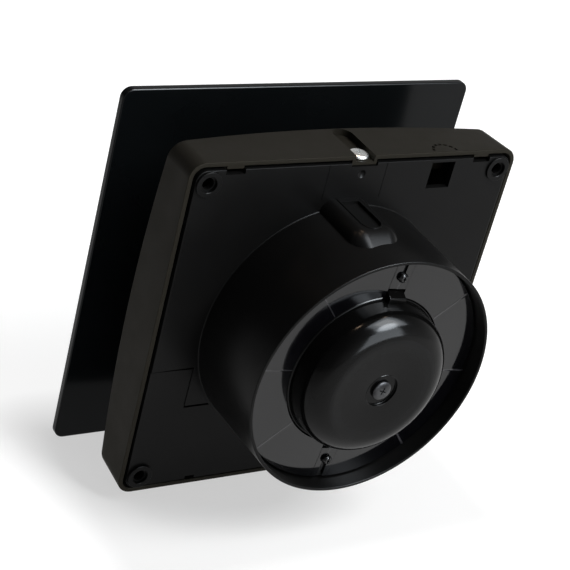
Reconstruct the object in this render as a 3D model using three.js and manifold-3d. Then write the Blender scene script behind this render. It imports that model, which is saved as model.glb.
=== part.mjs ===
// Bathroom extractor fan for a 100 mm duct, with a flat stand-off front panel.
// Millimetres, +Z up. The origin is where the duct axis meets the wall face.
// The duct spigot points along +Y, into the wall, and the front panel faces -Y, into the room.

import * as THREE from 'three';
import { mergeVertices } from 'three/addons/utils/BufferGeometryUtils.js';
import Module from 'manifold-3d';

const wasm = await Module();
wasm.setup();

// ---------- Driving dimensions ----------

const WALL_Y = 0;
const BOSS_HEIGHT = 0.8;
const PLATE_REAR_Y = WALL_Y - BOSS_HEIGHT;
const PLATE_THICKNESS = 2.4;
const PLATE_FRONT_Y = PLATE_REAR_Y - PLATE_THICKNESS;
const PLATE_HALF = 66.8;
const PLATE_CORNER = 4;
const FIXING_HALF_PITCH = 61.7;
const FIXING_HOLE_RADIUS = 2.2;
const FIXING_SEAT_RADIUS = 3;

const COVER_HALF = 69.5;
const COVER_CORNER = 6;
const COVER_WALL = 1.8;
const COVER_REAR_Y = -1.5;
const COVER_CORNER_Y = -19;
const COVER_DOME = 3.65;
const COVER_PINCH = 0.012;

const PANEL_SIZE = 150;
const PANEL_CORNER = 4;
const PANEL_THICKNESS = 3;
const PANEL_REAR_Y = -44.8;

const SPIGOT_REAR_Y = 37.3;
const SPIGOT_BASE_RADIUS = 49.75;
const SPIGOT_RIM_RADIUS = 49.25;
const SPIGOT_BORE = 48;
const SHROUD_BORE = 45.6;
const SHROUD_FRONT_Y = -21;
const SHROUD_WALL = 2;

// The motor pod, its struts and the shutter are turned a little about the duct axis.
const POD_TWIST = THREE.MathUtils.degToRad(7);
const VANE_COUNT = 8;

const CARRIER_REAR_Y = 30.2;
const CARRIER_FRONT_Y = 9;
const CUP_RADIUS = 28.4;
const CUP_WALL = 1.8;

const CAP_LIP_Y = 29.9;
const CAP_LIP_RADIUS = 31;
const CAP_SHOULDER_Y = 36.5;
const CAP_SHOULDER_RADIUS = 29.6;
const CAP_FACE_Y = 44.5;
const CAP_FACE_RADIUS = 20;
const CAP_WALL = 1.8;

const FILM_Y = 30.7;
const FILM_THICKNESS = 0.4;
const FILM_RADIUS = 47.3;
const FILM_HOLE = 31.9;
const STRIP_HALF = 3.85;
const FOLD_GAP = 0.3;
const PIN_RADIUS_AT = 39.3;

const SHAFT_RADIUS = 2;
const SHAFT_FRONT_Y = -19;
const SHAFT_REAR_Y = 34.8;
const BLADE_COUNT = 7;
const BLADE_TIP = 44;
const HUB_RADIUS = 17;

const GAP = 0.3;

// Sides of the round forms, from the duct down to the screws.
const DUCT_SIDES = 40;
const POD_SIDES = 28;
const SMALL_SIDES = 10;

// ---------- Colours ----------

function finish(color, roughness, metalness = 0) {
  return new THREE.MeshStandardMaterial({ color, roughness, metalness });
}

const materials = {
  panel: finish(0x0b0b0c, 0.08),
  casing: finish(0x1c1c1b, 0.45),
  pod: finish(0x161617, 0.3),
  film: finish(0x46464a, 0.15),
  impeller: finish(0x202021, 0.4),
  steel: finish(0x8d8f92, 0.35, 1),
  zinc: finish(0xb9babc, 0.3, 1),
  copper: finish(0x9a4a26, 0.4, 1),
  terminal: finish(0xd8d6cf, 0.5),
  liveLead: finish(0x5f3a22, 0.5),
  neutralLead: finish(0x2c4c86, 0.5),
};

// ---------- Solid helpers ----------

// Closed geometry to a boolean solid, dropping the flat triangles that meet the turning axis.
function solid(geometry) {
  const bare = geometry.clone();
  bare.deleteAttribute('normal');
  bare.deleteAttribute('uv');
  const merged = mergeVertices(bare, 1e-4);
  const index = merged.index.array;
  const kept = [];
  for (let i = 0; i < index.length; i += 3) {
    const [a, b, c] = [index[i], index[i + 1], index[i + 2]];
    if (a !== b && b !== c && c !== a) kept.push(a, b, c);
  }
  return new wasm.Manifold(new wasm.Mesh({
    numProp: 3,
    vertProperties: new Float32Array(merged.attributes.position.array),
    triVerts: new Uint32Array(kept),
  }));
}

function geometryOf(manifold) {
  const mesh = manifold.getMesh();
  const geometry = new THREE.BufferGeometry();
  geometry.setAttribute('position', new THREE.BufferAttribute(mesh.vertProperties, mesh.numProp));
  geometry.setIndex(new THREE.BufferAttribute(mesh.triVerts, 1));
  return geometry;
}

const join = (first, ...rest) => rest.reduce((sum, piece) => sum.add(piece), first);
const cut = (first, ...rest) => rest.reduce((left, piece) => left.subtract(piece), first);

// Turns a profile of [radius, y] points about the duct axis. Profiles run up the outside first.
function turned(profile, segments = POD_SIDES) {
  const points = profile.map(([radius, y]) => new THREE.Vector2(radius, y));
  return solid(new THREE.LatheGeometry(points, segments));
}

function disc(radius, y0, y1, segments = POD_SIDES) {
  return turned([[0, y0], [radius, y0], [radius, y1], [0, y1]], segments);
}

function ring(inner, outer, y0, y1, segments = POD_SIDES) {
  return turned([[inner, y0], [outer, y0], [outer, y1], [inner, y1], [inner, y0]], segments);
}

function block(x0, x1, y0, y1, z0, z1) {
  const geometry = new THREE.BoxGeometry(x1 - x0, y1 - y0, z1 - z0);
  geometry.translate((x0 + x1) / 2, (y0 + y1) / 2, (z0 + z1) / 2);
  return solid(geometry);
}

// A round bar between two points.
function bar(from, to, radius, segments = SMALL_SIDES) {
  const start = new THREE.Vector3(...from);
  const end = new THREE.Vector3(...to);
  const along = end.clone().sub(start);
  const geometry = new THREE.CylinderGeometry(radius, radius, along.length(), segments);
  const up = new THREE.Vector3(0, 1, 0);
  geometry.applyQuaternion(new THREE.Quaternion().setFromUnitVectors(up, along.clone().normalize()));
  geometry.translate(...start.add(end).multiplyScalar(0.5).toArray());
  return solid(geometry);
}

// Extrudes a shape drawn in X and Z, forward along -Y from rearY.
function extrudeForward(shape, rearY, depth, curveSegments = 4) {
  const geometry = new THREE.ExtrudeGeometry(shape, { depth, bevelEnabled: false, curveSegments });
  geometry.rotateX(Math.PI / 2);
  geometry.translate(0, rearY, 0);
  return geometry;
}

function roundedRect(x0, x1, z0, z1, radius) {
  const shape = new THREE.Shape();
  shape.moveTo(x0 + radius, z0);
  shape.lineTo(x1 - radius, z0);
  shape.absarc(x1 - radius, z0 + radius, radius, -Math.PI / 2, 0);
  shape.lineTo(x1, z1 - radius);
  shape.absarc(x1 - radius, z1 - radius, radius, 0, Math.PI / 2);
  shape.lineTo(x0 + radius, z1);
  shape.absarc(x0 + radius, z1 - radius, radius, Math.PI / 2, Math.PI);
  shape.lineTo(x0, z0 + radius);
  shape.absarc(x0 + radius, z0 + radius, radius, Math.PI, Math.PI * 1.5);
  return shape;
}

const roundedSquare = (half, radius) => roundedRect(-half, half, -half, half, radius);

// Moves every vertex of a geometry by a function of its place.
function remap(geometry, move) {
  const position = geometry.attributes.position;
  const point = new THREE.Vector3();
  for (let i = 0; i < position.count; i += 1) {
    point.fromBufferAttribute(position, i);
    move(point);
    position.setXYZ(i, point.x, point.y, point.z);
  }
  return geometry;
}

// Angle of the shutter's fold line, from +X towards +Z.
const STRIP_ANGLE = Math.PI / 2 + POD_TWIST;

const polar = (radius, angle, y = 0) => [radius * Math.cos(angle), y, radius * Math.sin(angle)];

// Places a solid drawn along +X at an angle about the duct axis.
const turnTo = (piece, angle) => piece.rotate([0, -THREE.MathUtils.radToDeg(angle), 0]);

// ---------- Assembly ----------

const fan = new THREE.Group();

function add(name, piece, material, parent = fan) {
  const mesh = new THREE.Mesh(piece.isBufferGeometry ? piece : geometryOf(piece), material);
  mesh.name = name;
  parent.add(mesh);
  return mesh;
}

// ---------- Front panel and its studs ----------

function frontPanel() {
  const edge = 0.5;
  const shape = roundedSquare(PANEL_SIZE / 2 - edge, PANEL_CORNER - edge);
  const geometry = new THREE.ExtrudeGeometry(shape, {
    depth: PANEL_THICKNESS - 2 * edge,
    bevelThickness: edge,
    bevelSize: edge,
    bevelSegments: 1,
    curveSegments: 4,
  });
  geometry.rotateX(Math.PI / 2);
  geometry.translate(0, PANEL_REAR_Y - edge, 0);
  return geometry;
}

add('front_panel', frontPanel(), materials.panel);

const STUD_HALF_PITCH = 36;
const STUD_RADIUS = 4;
const SOCKET_RADIUS = 7;
const SOCKET_BORE = 4.4;
const SOCKET_FRONT_Y = -34;
const SOCKET_REAR_Y = -22.8;
const STUD_TIP_Y = -30;

// Each stud is a flanged peg that stands on the panel and plugs into a socket on the cover.
function panelStud() {
  const flange = PANEL_REAR_Y + GAP;
  return turned([
    [0, flange], [7, flange], [7, flange + 1.5], [STUD_RADIUS, flange + 3],
    [STUD_RADIUS, STUD_TIP_Y - 1], [STUD_RADIUS - 1, STUD_TIP_Y], [0, STUD_TIP_Y],
  ], SMALL_SIDES);
}

const corners = [[1, 1], [-1, 1], [-1, -1], [1, -1]];

corners.forEach(([sx, sz], i) => {
  const stud = add(`panel_stud_${i + 1}`, panelStud(), materials.casing);
  stud.position.set(sx * STUD_HALF_PITCH, 0, sz * STUD_HALF_PITCH);
});

// ---------- Front cover ----------

const SLOT_X = -0.75;
const SLOT_HALF = 4.05;
const SLOT_FRONT_Y = -21.5;
const SLOT_FLOOR_Z = 67;
const TRAY_WALL = 1.2;
const COVER_SCREW_Y = -6;
const KNOCKOUT_X = -36.5;
const KNOCKOUT_RADIUS = 5;
const HOOK_X = [-53, 52];
const GUARD_RINGS = [[15, 22], [25, 32], [35, 42]];
const GUARD_SPOKES = 8;

// A square box whose sides keep their rear size at mid-side and pull in at the front corners.
function coverBlock(half, corner) {
  const depth = 40;
  const geometry = extrudeForward(roundedSquare(half, corner), COVER_REAR_Y, depth);
  const front = COVER_REAR_Y - COVER_CORNER_Y;
  return solid(remap(geometry, (point) => {
    const t = (COVER_REAR_Y - point.y) / front;
    const [u, v] = [point.x / half, point.z / half];
    point.x *= 1 - COVER_PINCH * t * v * v;
    point.z *= 1 - COVER_PINCH * t * u * u;
  }));
}

// Depth of the cover's shallow dome at a place across the front.
function domeY(x, z) {
  const [u, v] = [x / COVER_HALF, z / COVER_HALF];
  return COVER_CORNER_Y - COVER_DOME * (2 - u * u - v * v);
}

function domedBlock(inset) {
  const size = 2 * COVER_HALF + 4;
  const cells = 8;
  const geometry = new THREE.BoxGeometry(size, 60, size, cells, 1, cells);
  return solid(remap(geometry, (point) => {
    point.y = point.y < 0 ? domeY(point.x, point.z) + inset : 30;
  }));
}

// Ring-shaped air slots through the dome, crossed by spokes.
function guardSlots() {
  const spokes = [];
  for (let i = 0; i < GUARD_SPOKES; i += 1) {
    spokes.push(turnTo(block(0, 60, -60, 0, -1.5, 1.5), (i + 0.5) * 2 * Math.PI / GUARD_SPOKES));
  }
  const rings = GUARD_RINGS.map(([inner, outer]) => ring(inner, outer, -50, -15, 24));
  return cut(join(...rings), join(...spokes));
}

// The score line of a half-round knock-out, for a surface-run cable.
function knockOut() {
  const groove = new THREE.Shape();
  groove.absarc(0, 0, KNOCKOUT_RADIUS + 0.5, Math.PI, 2 * Math.PI, false);
  groove.absarc(0, 0, KNOCKOUT_RADIUS - 0.3, 2 * Math.PI, Math.PI, true);
  const geometry = new THREE.ExtrudeGeometry(groove, {
    depth: 4, bevelEnabled: false, curveSegments: 7,
  });
  geometry.translate(KNOCKOUT_X, COVER_REAR_Y - 0.6, COVER_HALF - 0.6);
  return solid(geometry);
}

function frontCover() {
  const outer = coverBlock(COVER_HALF, COVER_CORNER).intersect(domedBlock(0));
  const inner = coverBlock(COVER_HALF - COVER_WALL, COVER_CORNER - COVER_WALL).intersect(domedBlock(2));
  let shell = cut(outer, inner, guardSlots());

  // The recess for the fixing screw: a tray let into the top wall, open at the rear.
  const trayHalf = SLOT_HALF + TRAY_WALL;
  const trayShape = roundedRect(SLOT_X - SLOT_HALF, SLOT_X + SLOT_HALF, SLOT_FRONT_Y, 8, SLOT_HALF - 0.05);
  const tray = block(
    SLOT_X - trayHalf, SLOT_X + trayHalf, SLOT_FRONT_Y - TRAY_WALL, COVER_REAR_Y,
    SLOT_FLOOR_Z - TRAY_WALL, COVER_HALF - 1,
  );
  const hollow = new THREE.ExtrudeGeometry(trayShape, { depth: 8, bevelEnabled: false, curveSegments: 4 });
  hollow.translate(0, 0, SLOT_FLOOR_Z);
  shell = cut(join(shell, tray.intersect(outer)), solid(hollow));
  shell = cut(shell, bar([SLOT_X, COVER_SCREW_Y, 60], [SLOT_X, COVER_SCREW_Y, 70], 1.9));

  // Sockets that take the panel studs.
  for (const [sx, sz] of corners) {
    const socket = disc(SOCKET_RADIUS, SOCKET_FRONT_Y, SOCKET_REAR_Y, 16);
    const bore = disc(SOCKET_BORE, SOCKET_FRONT_Y - 1, STUD_TIP_Y + 1, 16);
    const place = [sx * STUD_HALF_PITCH, 0, sz * STUD_HALF_PITCH];
    shell = cut(join(shell, socket.translate(place)), bore.translate(place));
  }

  // Two hooks at the top catch behind the back plate's edge.
  for (const x of HOOK_X) {
    const stem = block(x - 3.4, x + 3.4, -6, COVER_REAR_Y, 66.6, COVER_HALF - 1.2);
    const hook = block(x - 3.4, x + 3.4, -5.2, -3.6, 65.4, 67.6);
    shell = join(shell, stem, hook);
  }
  return cut(shell, knockOut());
}

add('front_cover', frontCover(), materials.casing);

// ---------- Back plate with spigot and impeller shroud ----------

const CHANNEL_X = 3.5;
const CHANNEL_HALF = 10;
const CHANNEL_TOP_Z = 52.8;
const CHANNEL_REAR_Y = 23.5;
const DIMPLE_X = -0.4;
const DIMPLE_Z = 62.5;
const DIMPLE_RADIUS = 1.5;
const DIMPLE_DEPTH = 0.4;
const SET_BACK = 0.35;
const HOOD_SLOPE = 37;
const CLAMP_Z = 60;
const CLAMP_Y = -10;
const CLAMP_POST_X = [-46, -26];
const ENTRY = { x0: -41.1, x1: -30.8, z0: 55, z1: 65.6 };

function ductTube() {
  const lip = 3;
  return turned([
    [SHROUD_BORE, PLATE_FRONT_Y], [SHROUD_BORE, SHROUD_FRONT_Y + lip],
    [SHROUD_BORE + 0.9, SHROUD_FRONT_Y + 0.9], [SHROUD_BORE + lip, SHROUD_FRONT_Y],
    [SHROUD_BORE + SHROUD_WALL, SHROUD_FRONT_Y + lip], [SHROUD_BORE + SHROUD_WALL, PLATE_FRONT_Y - 1],
    [SPIGOT_BASE_RADIUS, PLATE_FRONT_Y], [SPIGOT_BASE_RADIUS, PLATE_REAR_Y],
    [SPIGOT_RIM_RADIUS, SPIGOT_REAR_Y], [SPIGOT_BORE, SPIGOT_REAR_Y],
    [SPIGOT_BORE, WALL_Y + 1.6], [SHROUD_BORE, PLATE_FRONT_Y],
  ], DUCT_SIDES);
}

// A raised hood on top of the spigot that covers the channel for the motor leads. Its end slopes down.
function leadHood() {
  const shape = roundedRect(
    CHANNEL_X - CHANNEL_HALF, CHANNEL_X + CHANNEL_HALF, SPIGOT_BORE - 8, CHANNEL_TOP_Z, 4.5,
  );
  const geometry = extrudeForward(shape, CHANNEL_REAR_Y, CHANNEL_REAR_Y - PLATE_FRONT_Y);
  const slope = block(CHANNEL_X - 12, CHANNEL_X + 12, -1, 9, 0, 6)
    .rotate([-HOOD_SLOPE, 0, 0])
    .translate([0, CHANNEL_REAR_Y - 3.6, CHANNEL_TOP_Z]);
  return cut(solid(geometry), slope, disc(SPIGOT_BORE + 0.4, -10, 40, DUCT_SIDES));
}

// A round boss with a stepped fixing hole.
function fixingBoss() {
  return ring(FIXING_SEAT_RADIUS, 4.9, PLATE_FRONT_Y, WALL_Y, 16);
}

function fixingHole() {
  const seat = PLATE_REAR_Y - 0.4;
  return turned([
    [0, -8], [FIXING_HOLE_RADIUS, -8], [FIXING_HOLE_RADIUS, seat],
    [FIXING_SEAT_RADIUS, seat], [FIXING_SEAT_RADIUS, 2], [0, 2],
  ], 16);
}

function backPlate() {
  const outline = roundedSquare(PLATE_HALF, PLATE_CORNER);
  let plate = solid(extrudeForward(outline, PLATE_REAR_Y, PLATE_THICKNESS));
  plate = cut(plate, disc(SPIGOT_BORE - 0.5, -10, 10, DUCT_SIDES));

  // The lower corner beside the spigot is set back a little.
  const setBack = new THREE.Shape();
  const corner = [[70, -15], [49.6, -15], [49.6, -32], [0, -32], [0, -70], [70, -70]];
  corner.forEach(([x, z], i) => (i ? setBack.lineTo(x, z) : setBack.moveTo(x, z)));
  plate = cut(plate, solid(extrudeForward(setBack, 2, 2 - PLATE_REAR_Y + SET_BACK)));
  plate = join(plate, ductTube(), leadHood());

  for (const [sx, sz] of corners) {
    const place = [sx * FIXING_HALF_PITCH, 0, sz * FIXING_HALF_PITCH];
    plate = join(plate, fixingBoss().translate(place));
    plate = cut(plate, fixingHole().translate(place));
  }

  // A small moulding dimple above the spigot, and the lug that the cover's screw bites into.
  const dimple = disc(DIMPLE_RADIUS, PLATE_REAR_Y - DIMPLE_DEPTH, WALL_Y, SMALL_SIDES);
  plate = cut(plate, dimple.translate([DIMPLE_X, 0, DIMPLE_Z]));
  const lug = block(SLOT_X - 4, SLOT_X + 4, -10, PLATE_REAR_Y - 0.5, 57.5, 65.2);
  const pilot = bar([SLOT_X, COVER_SCREW_Y, 58.5], [SLOT_X, COVER_SCREW_Y, 66], 1.8);
  plate = cut(join(plate, lug), pilot);
  const trayRoom = SLOT_HALF + TRAY_WALL + GAP;
  const trayNotch = block(SLOT_X - trayRoom, SLOT_X + trayRoom, -12, 2, SLOT_FLOOR_Z - TRAY_WALL - GAP, 70);

  // Notches for the cover's hooks, the cable entry, and the motor lead channel.
  const hookNotches = HOOK_X.map((x) => block(x - 3.8, x + 3.8, -8, 2, 65, 70));
  const lowerNotch = block(37.5, 41.5, -8, 2, -70, -65.6);
  const entry = block(ENTRY.x0, ENTRY.x1, -8, 2, ENTRY.z0, ENTRY.z1);
  const leadSlot = block(CHANNEL_X - 3, CHANNEL_X + 3, -8, CHANNEL_REAR_Y - 4, 44, 50.6);
  plate = cut(plate, trayNotch, ...hookNotches, lowerNotch, entry, leadSlot);

  // The long recess on top of the hood.
  const recess = roundedRect(CHANNEL_X - 3.75, CHANNEL_X + 3.75, 2, CHANNEL_REAR_Y - 4, 3.7);
  const recessGeometry = new THREE.ExtrudeGeometry(recess, {
    depth: 4, bevelEnabled: false, curveSegments: 4,
  });
  recessGeometry.translate(0, 0, CHANNEL_TOP_Z - 1);
  plate = cut(plate, solid(recessGeometry));

  // Posts for the cable clamp.
  for (const x of CLAMP_POST_X) {
    const place = [x, 0, CLAMP_Z];
    const post = disc(2.8, CLAMP_Y + GAP, PLATE_FRONT_Y + 0.5, SMALL_SIDES).translate(place);
    const hole = disc(1.65, CLAMP_Y, PLATE_FRONT_Y - 1, SMALL_SIDES).translate(place);
    plate = cut(join(plate, post), hole);
  }
  return plate;
}

add('back_plate', backPlate(), materials.casing);

// ---------- Motor carrier: outer ring, guide vanes and motor cup ----------

const CARRIER_RADIUS = SPIGOT_BORE - GAP;
const CARRIER_WALL = 1.4;
const CUP_BORE = CUP_RADIUS - CUP_WALL;
const BEARING_RADIUS = 6.5;
const BEARING_WIDTH = 4;
const SEAT_RADIUS = BEARING_RADIUS + GAP;
const FRONT_BEARING_Y = CARRIER_FRONT_Y + 1.5;
const REAR_BEARING_Y = 31;
const CLIP_HALF = 3.6;
const STATOR_FRONT_Y = 16.5;
const STATOR_REAR_Y = 28.5;
const TIE_RADIUS = 23.4;
const TIE_ANGLES = [0, Math.PI];

// A thin vane from the cup to the ring, curving back against the swirl.
function guideVane() {
  const height = 18;
  const sweep = 7;
  const geometry = new THREE.BoxGeometry(CARRIER_RADIUS - CUP_RADIUS + 2, height, 1.6, 1, 3, 1);
  geometry.translate((CARRIER_RADIUS + CUP_RADIUS) / 2, 0, 0);
  return solid(remap(geometry, (point) => {
    const rise = point.y / height + 0.5;
    point.z += sweep * (1 - rise) * (1 - rise);
    point.y += CARRIER_REAR_Y - height / 2;
  }));
}

function motorCup() {
  const floor = CARRIER_FRONT_Y;
  const seatFloor = FRONT_BEARING_Y - GAP;
  const seatTop = FRONT_BEARING_Y + BEARING_WIDTH;
  const flange = CAP_LIP_Y - GAP;
  return turned([
    [3, floor], [CUP_RADIUS - 2, floor], [CUP_RADIUS, floor + 2], [CUP_RADIUS, flange - 2],
    [CAP_LIP_RADIUS, flange - 1.2], [CAP_LIP_RADIUS, flange], [CUP_BORE, flange],
    [CUP_BORE, floor + CUP_WALL], [SEAT_RADIUS + 2, floor + CUP_WALL], [SEAT_RADIUS + 2, seatTop],
    [SEAT_RADIUS, seatTop], [SEAT_RADIUS, seatFloor], [3, seatFloor], [3, floor],
  ]);
}

// The space above the cup's flange, which the cap's lip fills.
const capRoom = () => disc(CAP_LIP_RADIUS + GAP, CAP_LIP_Y - GAP, CAP_LIP_Y + 5, DUCT_SIDES);

function motorCarrier() {
  const rimBore = CARRIER_RADIUS - CARRIER_WALL;
  const rim = ring(rimBore, CARRIER_RADIUS, CARRIER_FRONT_Y + 3, CARRIER_REAR_Y, DUCT_SIDES);
  const vanes = [];
  for (let i = 0; i < VANE_COUNT; i += 1) {
    vanes.push(turnTo(guideVane(), POD_TWIST + i * 2 * Math.PI / VANE_COUNT));
  }
  const annulus = ring(CUP_BORE + 0.8, CARRIER_RADIUS - 0.5, 0, CARRIER_REAR_Y, DUCT_SIDES);
  let carrier = join(rim, cut(join(...vanes).intersect(annulus), capRoom()), motorCup());

  // Notches that the cap's clips hook into, and a hole for the motor leads.
  for (const side of [0, Math.PI]) {
    const notch = block(CUP_RADIUS + 0.5, 36, 25.5, 32, -CLIP_HALF - GAP, CLIP_HALF + GAP);
    carrier = cut(carrier, turnTo(notch, STRIP_ANGLE + side));
  }
  const leadHole = turnTo(block(CUP_BORE - 2, CUP_RADIUS + 1, 12.6, 16.2, -8.6, -3), STRIP_ANGLE);
  const rimNotch = block(CHANNEL_X - 3, CHANNEL_X + 3, 0, CHANNEL_REAR_Y - 4, 40, 50);
  carrier = cut(carrier, leadHole, rimNotch);

  // Posts that the motor's tie screws bite into.
  for (const angle of TIE_ANGLES) {
    const place = polar(TIE_RADIUS, angle);
    const post = disc(2.6, CARRIER_FRONT_Y + 1, STATOR_FRONT_Y - GAP, SMALL_SIDES).translate(place);
    const hole = disc(1.6, STATOR_FRONT_Y - 4.5, STATOR_FRONT_Y, SMALL_SIDES).translate(place);
    carrier = cut(join(carrier, post), hole);
  }
  return carrier;
}

add('motor_carrier', motorCarrier(), materials.pod);

// ---------- Motor cap and its screw ----------

const CAP_RECESS_RADIUS = 6.4;
const CAP_RECESS_FLOOR_Y = 43;
const CAP_CLIP_RADIUS = 33.8;

// The wide, rounded shoulder between the cap's side and its flat face.
function shoulder(inset) {
  const points = [];
  const steps = 5;
  for (let i = 0; i <= steps; i += 1) {
    const angle = (i / steps) * Math.PI / 2;
    const radius = CAP_FACE_RADIUS + (CAP_SHOULDER_RADIUS - CAP_FACE_RADIUS) * Math.cos(angle) - inset;
    points.push([radius, CAP_SHOULDER_Y + (CAP_FACE_Y - CAP_SHOULDER_Y) * Math.sin(angle) - inset]);
  }
  return points;
}

function motorCap() {
  const outer = turned([[0, CAP_LIP_Y], [CAP_LIP_RADIUS, CAP_LIP_Y], ...shoulder(0), [0, CAP_FACE_Y]], 40);
  const inner = turned([
    [0, CAP_LIP_Y - 1], [CAP_LIP_RADIUS - CAP_WALL, CAP_LIP_Y - 1], ...shoulder(CAP_WALL),
    [0, CAP_FACE_Y - CAP_WALL],
  ], 28);
  const pocket = disc(CAP_RECESS_RADIUS + CAP_WALL, CAP_RECESS_FLOOR_Y - CAP_WALL, CAP_FACE_Y - 1, 20);
  let cap = join(cut(outer, inner), pocket);
  cap = cut(cap, disc(CAP_RECESS_RADIUS, CAP_RECESS_FLOOR_Y, CAP_FACE_Y + 1, 20));
  cap = cut(cap, disc(1.9, 30, CAP_FACE_Y, SMALL_SIDES));
  for (const side of [0, Math.PI]) {
    const arm = block(CAP_LIP_RADIUS - 1.2, CAP_CLIP_RADIUS, CAP_LIP_Y + 0.2, 33.5, -CLIP_HALF, CLIP_HALF);
    const leg = block(CAP_LIP_RADIUS - 1.2, CAP_LIP_RADIUS + 0.4, 26, CAP_LIP_Y + 1, -CLIP_HALF, CLIP_HALF);
    cap = join(cap, turnTo(join(arm, leg), STRIP_ANGLE + side));
  }
  return cap;
}

add('motor_cap', motorCap(), materials.pod);

// A pan-head screw with a cross recess, drawn head up along +Y with the head's seat at zero.
function panHeadScrew(headRadius, headHeight, shankRadius, shankLength) {
  const screw = turned([
    [0, -shankLength], [shankRadius * 0.5, -shankLength], [shankRadius, -shankLength + shankRadius],
    [shankRadius, 0], [headRadius, 0], [headRadius, headHeight * 0.5],
    [headRadius * 0.72, headHeight * 0.9], [0, headHeight],
  ], SMALL_SIDES);
  const arm = headRadius * 0.55;
  const slot = headRadius * 0.11;
  const floor = headHeight * 0.35;
  const cross = join(block(-arm, arm, floor, 9, -slot, slot), block(-slot, slot, floor, 9, -arm, arm));
  return geometryOf(cut(screw, cross));
}

const capScrew = add('cap_screw', panHeadScrew(3.8, 1.2, 1.4, 5), materials.steel);
capScrew.position.set(0, CAP_RECESS_FLOOR_Y + GAP, 0);

// The head faces up, out of the tray in the cover's top wall.
const coverScrew = add('cover_screw', panHeadScrew(3.6, 1.3, 1.5, 7), materials.zinc);
coverScrew.rotation.x = Math.PI / 2;
coverScrew.position.set(SLOT_X, COVER_SCREW_Y, SLOT_FLOOR_Z + GAP);

// ---------- Motor ----------

const STATOR_RADIUS = CUP_BORE - GAP;
const STATOR_BORE = 12.2;
const POLE_HALF = 4;
const POLE_COUNT = 4;
const BACK_IRON = 21;
const BRACKET_Y = 33.4;

function statorCore() {
  let core = ring(BACK_IRON, STATOR_RADIUS, STATOR_FRONT_Y, STATOR_REAR_Y);
  for (let i = 0; i < POLE_COUNT; i += 1) {
    const pole = block(STATOR_BORE, BACK_IRON + 1, STATOR_FRONT_Y, STATOR_REAR_Y, -POLE_HALF, POLE_HALF);
    const shoe = block(STATOR_BORE - 3, STATOR_BORE + 1.6, STATOR_FRONT_Y, STATOR_REAR_Y, -7, 7);
    core = join(core, turnTo(join(pole, shoe), (i + 0.5) * 2 * Math.PI / POLE_COUNT));
  }
  for (const angle of TIE_ANGLES) {
    core = cut(core, disc(1.6, 0, 40, SMALL_SIDES).translate(polar(TIE_RADIUS, angle)));
  }
  return cut(core, disc(STATOR_BORE, 0, 40, 24));
}

add('stator_core', statorCore(), materials.steel);

// One winding around a pole, with rounded ends front and rear.
function coil() {
  const [x0, x1] = [STATOR_BORE + 1.9, BACK_IRON - 1.6];
  const middle = (STATOR_FRONT_Y + STATOR_REAR_Y) / 2;
  const height = STATOR_REAR_Y - STATOR_FRONT_Y;
  const shape = roundedRect(-height / 2 - 2.8, height / 2 + 2.8, -POLE_HALF - 3, POLE_HALF + 3, 2.6);
  const [a, b] = [height / 2 + GAP, POLE_HALF + GAP];
  shape.holes.push(new THREE.Path([[-a, -b], [-a, b], [a, b], [a, -b]].map((v) => new THREE.Vector2(...v))));
  const geometry = new THREE.ExtrudeGeometry(shape, {
    depth: x1 - x0, bevelEnabled: false, curveSegments: 3,
  });
  // Drawn with the shape's X along the duct axis and its Y across the pole.
  geometry.applyMatrix4(new THREE.Matrix4().makeBasis(
    new THREE.Vector3(0, 1, 0), new THREE.Vector3(0, 0, 1), new THREE.Vector3(1, 0, 0),
  ));
  geometry.translate(x0, middle, 0);
  return solid(geometry);
}

for (let i = 0; i < POLE_COUNT; i += 1) {
  add(`coil_${i + 1}`, turnTo(coil(), (i + 0.5) * 2 * Math.PI / POLE_COUNT), materials.copper);
}

const ROTOR_RADIUS = STATOR_BORE - 0.5;

function rotor() {
  return ring(SHAFT_RADIUS + GAP, ROTOR_RADIUS, STATOR_FRONT_Y - 0.5, STATOR_REAR_Y + 0.5, 24);
}

add('rotor', rotor(), materials.steel);

function shaft() {
  return turned([
    [0, SHAFT_FRONT_Y], [SHAFT_RADIUS - 0.4, SHAFT_FRONT_Y], [SHAFT_RADIUS, SHAFT_FRONT_Y + 0.4],
    [SHAFT_RADIUS, SHAFT_REAR_Y - 0.4], [SHAFT_RADIUS - 0.4, SHAFT_REAR_Y], [0, SHAFT_REAR_Y],
  ], SMALL_SIDES);
}

add('shaft', shaft(), materials.steel);

// A small ball bearing, with shallow grooves between its rings on both faces.
function ballBearing(y) {
  const [bore, outer] = [SHAFT_RADIUS + GAP, BEARING_RADIUS];
  const groove = [bore + 1.3, outer - 1.2];
  const bearing = ring(bore, outer, y, y + BEARING_WIDTH, 16);
  const front = ring(...groove, y - 1, y + 0.4, 16);
  const rear = ring(...groove, y + BEARING_WIDTH - 0.4, y + BEARING_WIDTH + 1, 16);
  return cut(bearing, front, rear);
}

add('front_bearing', ballBearing(FRONT_BEARING_Y), materials.steel);
add('rear_bearing', ballBearing(REAR_BEARING_Y), materials.steel);

const BRACKET_RADIUS = 25;

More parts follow.
